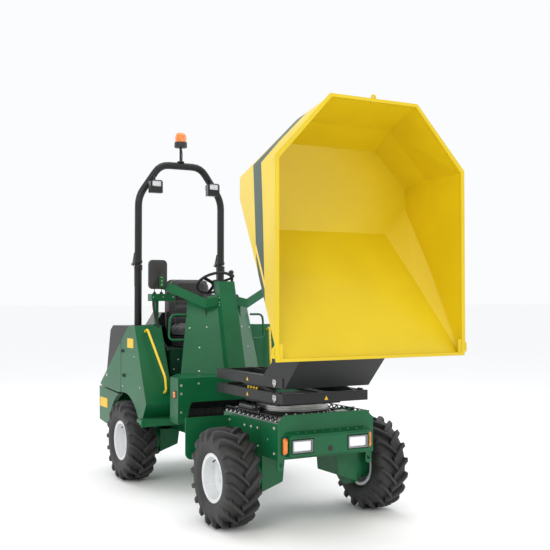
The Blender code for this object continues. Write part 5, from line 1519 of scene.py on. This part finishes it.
ropsValues = dict(x=0.436, y=2.326, foldY=2.390, foldZ=1.965, pinHalf=0.047, headAt=0.044, boltZ=(1.915, 1.945))
for side, hand in sides:
    v = ropsValues
    collar = turned(
        [(1.905, 0.0375), (1.908, 0.0405), (1.955, 0.0405), (1.958, 0.0375)], at(side * v["x"], v["y"], 0),
        (0, 0, 1), 36
    )
    piece(f"ropsSocket_{hand}", collar, look["frameBlack"], "rear_section", 35)
    for level, z in enumerate(v["boltZ"]):
        marks = [at(side * (v["x"] + 0.039), v["y"], z)]
        piece(
            f"ropsSocketBolt_{hand}_{level + 1}", bolts(marks, (side, 0, 0), 0.007, 0.006), look["zinc"],
            "rear_section", 30
        )
    foot = turned(
        [(1.972, 0.0375), (1.975, 0.0400), (1.998, 0.0400), (2.001, 0.0375)], at(side * v["x"], v["y"], 0),
        (0, 0, 1), 36
    )
    piece(f"ropsFoot_{hand}", foot, look["frameBlack"], "folding_hoop", 35)
    fold = at(side * v["x"], v["foldY"], v["foldZ"])
    pin = [rod(fold - [v["pinHalf"], 0, 0], fold + [v["pinHalf"], 0, 0], 0.0085, 16)]
    for way in (-1, 1):
        pin += bolts([fold + [way * v["headAt"], 0, 0]], (way, 0, 0), 0.011, 0.010)
    piece(f"ropsFoldPin_{hand}", pin, look["zinc"], "rear_section", 30)

workLightValues = dict(wide=0.108, tall=0.070, rim=0.016, fins=6, finSpan=0.022)
for side, hand in sides:
    v = workLightValues
    low, high = (np.array(c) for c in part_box(f"work_light_{hand}"))
    middle = (low + high) / 2
    face = np.array([middle[0], low[1], middle[2]])
    wide, tall = min(v["wide"], high[0] - low[0]), min(v["tall"], high[2] - low[2])
    inside = (wide - v["rim"], tall - v["rim"])
    bezel = frameRing(face + [0, 0.001, 0], *alongFront, (wide, tall), inside, 0.007, 0.012)
    piece(f"workLightBezel_{hand}", bezel, look["plastic"], "folding_hoop", 30)
    lens = bulged(face + [0, 0.0005, 0], *alongFront, *inside, 0.005, 0.010)
    piece(f"workLightLens_{hand}", lens, look["clearDim"], "folding_hoop", 25)
    fins = [
        slab(
            np.array([middle[0], high[1] + 0.004, middle[2] + dz]), *alongFloor, (high[0] - low[0]) * 0.8,
            0.014, 0.003, 0.002, 0.0006
        )
        for dz in np.linspace(-v["finSpan"], v["finSpan"], v["fins"])
    ]
    piece(f"workLightFins_{hand}", fins, look["frameBlack"], "folding_hoop", 30)

beaconValues = dict(y=2.326, ribs=24, ribCircle=0.0545, ribMiddle=3.200, ribRadius=0.0028)
v = beaconValues
beaconMiddle = at(0, v["y"], 0)
angle = np.linspace(0, 2 * np.pi, v["ribs"], endpoint=False)
ribX, ribY = v["ribCircle"] * np.cos(angle), beaconMiddle[1] + v["ribCircle"] * np.sin(angle)
ribs = np.stack([ribX, ribY, np.full(v["ribs"], v["ribMiddle"])], -1)
bars = [rod(p - [0, 0, 0.022], p + [0, 0, 0.020], v["ribRadius"], 8) for p in ribs]
piece("beaconRibs", bars, look["amber"], "folding_hoop", 50)
foot = turned(
    [
        (3.118, 0.058), (3.121, 0.0625), (3.128, 0.0635), (3.133, 0.0620), (3.138, 0.0625), (3.166, 0.0615),
        (3.170, 0.0590), (3.1712, 0.030)
    ],
    beaconMiddle, (0, 0, 1), 48
)
piece("beaconFoot", foot, look["plastic"], "folding_hoop", 30)
cableRun = [
    (0.012, 2.326, 3.10), (0.020, 2.330, 3.05), (0.018, 2.328, 3.00), (0.022, 2.326, 2.965),
    (0.03, 2.326, 2.945)
]
piece("beaconLead", hose(places(cableRun), 0.0035, 30, 8), look["hose"], "folding_hoop", 60)

plateValues = dict(
    Badge=dict(onto="fender_{}", y=1.80, z=1.235, size=(0.155, 0.085), thick=0.0024, corner=0.010),
    Plate=dict(onto="rear_body", y=2.535, z=0.640, size=(0.215, 0.090), thick=0.0024, corner=0.006),
)
tailValues = dict(x=0.56, z=0.66, base=(0.190, 0.090), lens=(0.054, 0.074), spacing=0.058)
for side, hand in sides:
    for k, (y, z) in enumerate(((2.008, 1.158), (1.970, 0.938))):
        found = landing("fender_" + hand, at(side * 1.2, y, z), (-side, 0, 0))
        if found:
            spotAt = found[0]
            latch = [
                slab(spotAt + [side * 0.006, 0, 0], (0, side, 0), (0, 0, 1), 0.052, 0.030, 0.012, 0.006),
                slab(spotAt + [side * 0.013, 0.004, 0], (0, side, 0), (0, 0, 1), 0.030, 0.014, 0.008, 0.004)
            ]
            piece(f"sideLatch_{hand}_{k + 1}", latch, look["plastic"], "rear_section", 30)
    hinge = landing("hood_side_" + hand, at(side * 1.2, 2.45, 0.905), (-side, 0, 0))
    if hinge:
        piece(
            f"hoodSideBolt_{hand}", bolts([hinge[0]], (side, 0, 0), 0.011, 0.008), look["zinc"], "battery_hood",
            30
        )
    for label, v in plateValues.items():
        found = landing(v["onto"].format(hand), at(side * 1.2, v["y"], v["z"]), (-side, 0, 0))
        if found:
            middle = found[0] + [side * v["thick"] / 2, 0, 0]
            plate = slab(middle, (0, side, 0), (0, 0, 1), *v["size"], v["thick"], v["corner"], 0.0006)
            piece(f"blank{label}_{hand}", plate, look["plateYellow"], "rear_section", 30)
    v = tailValues
    lampAt = landing("rear_body", at(side * v["x"], 3.4, v["z"]), (0, -1, 0))
    if lampAt:
        middle = lampAt[0]
        piece(
            f"tailLampBase_{hand}", slab(middle + [0, 0.008, 0], *alongRear, *v["base"], 0.016, 0.012),
            look["plastic"], "rear_section", 30
        )
        for k, lensName in enumerate(("amber", "red", "clearDim")):
            lens = bulged(
                middle + [-side * (k - 1) * v["spacing"], 0.0155, 0], *alongRear, *v["lens"], 0.010, 0.007
            )
            piece(f"tailLamp_{hand}_{k + 1}", lens, look[lensName], "rear_section", 25)

# vents in the hood's rear face
ventValues = dict(halfSpan=0.26, columns=9, levels=(0.98, 1.04, 1.10, 1.16, 1.22), slat=(0.046, 0.014, 0.008))
v = ventValues
slats = []
for x in np.linspace(-v["halfSpan"], v["halfSpan"], v["columns"]):
    for z in v["levels"]:
        spotAt, normal = landing("hood", at(x, 3.4, z), (0, -1, 0))
        slats.append(
            slab(spotAt + normal * 0.002, (1, 0, 0), np.cross(normal, (1, 0, 0)), *v["slat"], 0.006, 0.003)
        )
piece("hoodLouvres", slats, look["plastic"], "battery_hood", 30)
towPlate = slab(at(0, 2.6750, 0.520), *alongRear, 0.13, 0.11, 0.012, 0.008)
piece("towPlate", towPlate, look["frameBlack"], "rear_section", 30)
rearBodyMarks = [(0.40, 0.74), (0.16, 0.74), (0.40, 0.50), (0.16, 0.50)]
fenderMarks = [(1.56, 0.86), (1.70, 1.12), (1.85, 1.25), (2.00, 0.84)]
for side, hand in sides:
    starts = mirrored(side, 3.4, rearBodyMarks)
    boltsOnto(f"rearBodyBolts_{hand}", "rear_body", starts, (0, -1, 0), 0.0075)
    starts = places([(side * 1.2, y, z) for y, z in fenderMarks])
    boltsOnto(f"fenderBolts_{hand}", f"fender_{hand}", starts, (-side, 0, 0), 0.0065, domed=True)
    starts = places([(side * x, 1.03, 0.70) for x in (0.43, 0.52)])
    boltsOnto(f"floorBolts_{hand}", "floor_plate", starts, (0, 0, -1), 0.0065, domed=True)
print("rear dressed")


jointValues = dict(count=4, radius=0.0095, spread=0.036, frontY=0.505, rearY=0.985, pivotY=0.72)
for k in range(jointValues["count"]):
    v = jointValues
    x = -0.055 + v["spread"] * k
    sag = 0.030 + 0.006 * (k % 2)
    run = [
        (x, v["frontY"], 0.715), (x * 1.02, v["frontY"] + 0.05, 0.716), (x * 1.05, 0.63, 0.716 + sag * 0.35),
        (x * 1.08, v["pivotY"], 0.716 + sag * 0.55), (x * 1.05, 0.82, 0.716 + sag * 0.35),
        (x * 1.02, v["rearY"] - 0.05, 0.715), (x, v["rearY"], 0.715)
    ]
    line = piece(f"jointHose_{k + 1}", hose(places(run), v["radius"], 60), look["hose"], None, 60)
    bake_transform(line)
    ferrules = fitting(at(x, v["frontY"] - 0.004, 0.715), (0, 1, 0), 0.0125)
    piece(f"jointFerruleFront_{k + 1}", ferrules, look["zinc"], "front_section", 30)
    piece(
        f"jointFerruleRear_{k + 1}", fitting(at(x, v["rearY"] - 0.004, 0.715), (0, -1, 0), 0.0125),
        look["zinc"], "rear_section", 30
    )
plateFront = slab(at(0.0, v["frontY"] - 0.004, 0.712), *alongFront, 0.20, 0.050, 0.008, 0.004)
piece("hosePlateFront", plateFront, look["machineGreen"], "front_section")
print("steering joint dressed")


stageValues = dict(
    floorColour=(0.97, 0.97, 0.97), floorTone=(0.955, 0.955, 0.955), floorSize=400.0,
    airColour=(0.965, 0.972, 0.985), airStrength=1.0
)


def studioFloor():
    # one flat square a hair under the wheels
    half = stageValues["floorSize"] / 2
    x, y = np.meshgrid([-half, half], [-half, half])
    points = np.stack([x, y, np.full_like(x, -0.0008)], -1).reshape(-1, 3)
    mesh = bpy.data.meshes.new("studioFloor")
    mesh.from_pydata(points.tolist(), [], [[0, 1, 3, 2]])
    material, tree, shader = shaderFor("floorPaper")
    place = node(tree, "ShaderNodeTexCoord").outputs["Object"]
    soft = band(tree, noise(tree, place, 1.4, 4.0), 0.2, 0.8)
    tree.links.new(
        mixColour(tree, soft, (*stageValues["floorTone"], 1), (*stageValues["floorColour"], 1)),
        shader.inputs["Base Color"]
    )
    shader.inputs["Roughness"].default_value = 0.7
    mesh.materials.append(material)
    linked("studioFloor", mesh)


def softLamp(name, place, target, size, power, colour):
    lamp = bpy.data.lights.new(name, "AREA")
    lamp.shape, lamp.size, lamp.size_y, lamp.energy, lamp.color = "RECTANGLE", size[0], size[1], power, colour
    made = linked(name, lamp)
    made.location = place
    made.rotation_euler = (Vector(target) - Vector(place)).to_track_quat("-Z", "Y").to_euler()


studioFloor()
lampRig = {
    "keyLamp": dict(
        place=(-5.5, -5.5, 6.5), target=(0, 0, 1.2), size=(4.0, 4.0), power=210, colour=(1.0, 0.98, 0.95)
    ),
    "frontLamp": dict(
        place=(1.5, -8.0, 3.0), target=(0, 0, 1.3), size=(5.0, 3.0), power=60, colour=(0.95, 0.98, 1.0)
    ),
    "topLamp": dict(place=(0.5, 1.0, 8.0), target=(0, 0, 1.0), size=(6.0, 6.0), power=170, colour=(1, 1, 1)),
    "sideLamp": dict(
        place=(6.5, 0.5, 3.5), target=(0, 0, 1.2), size=(3.5, 4.0), power=60, colour=(0.95, 0.98, 1.0)
    ),
    "rearLamp": dict(place=(-3.0, 7.0, 4.0), target=(0, 0, 1.4), size=(4.0, 3.0), power=70, colour=(1, 1, 1)),
}
for lampName, values in lampRig.items():
    softLamp(lampName, **values)
world = bpy.data.worlds.new("studioAir")
world.use_nodes = True
air = world.node_tree.nodes["Background"]
air.inputs["Color"].default_value = (*stageValues["airColour"], 1)
air.inputs["Strength"].default_value = stageValues["airStrength"]
bpy.context.scene.world = world

viewPoint = dict(place=(-3.455, -6.7135, 1.63), lens=59.0, sensor=36.0, pitch=91.517, yaw=-28.862)
camera = bpy.data.cameras.new("viewCamera")
camera.lens, camera.sensor_width = viewPoint["lens"], viewPoint["sensor"]
cameraObject = linked("viewCamera", camera)
cameraObject.location = viewPoint["place"]
cameraObject.rotation_euler = (math.radians(viewPoint["pitch"]), 0, math.radians(viewPoint["yaw"]))
bpy.context.scene.camera = cameraObject
bpy.context.scene.view_settings.view_transform = "Standard"
print("floor, light and camera set")
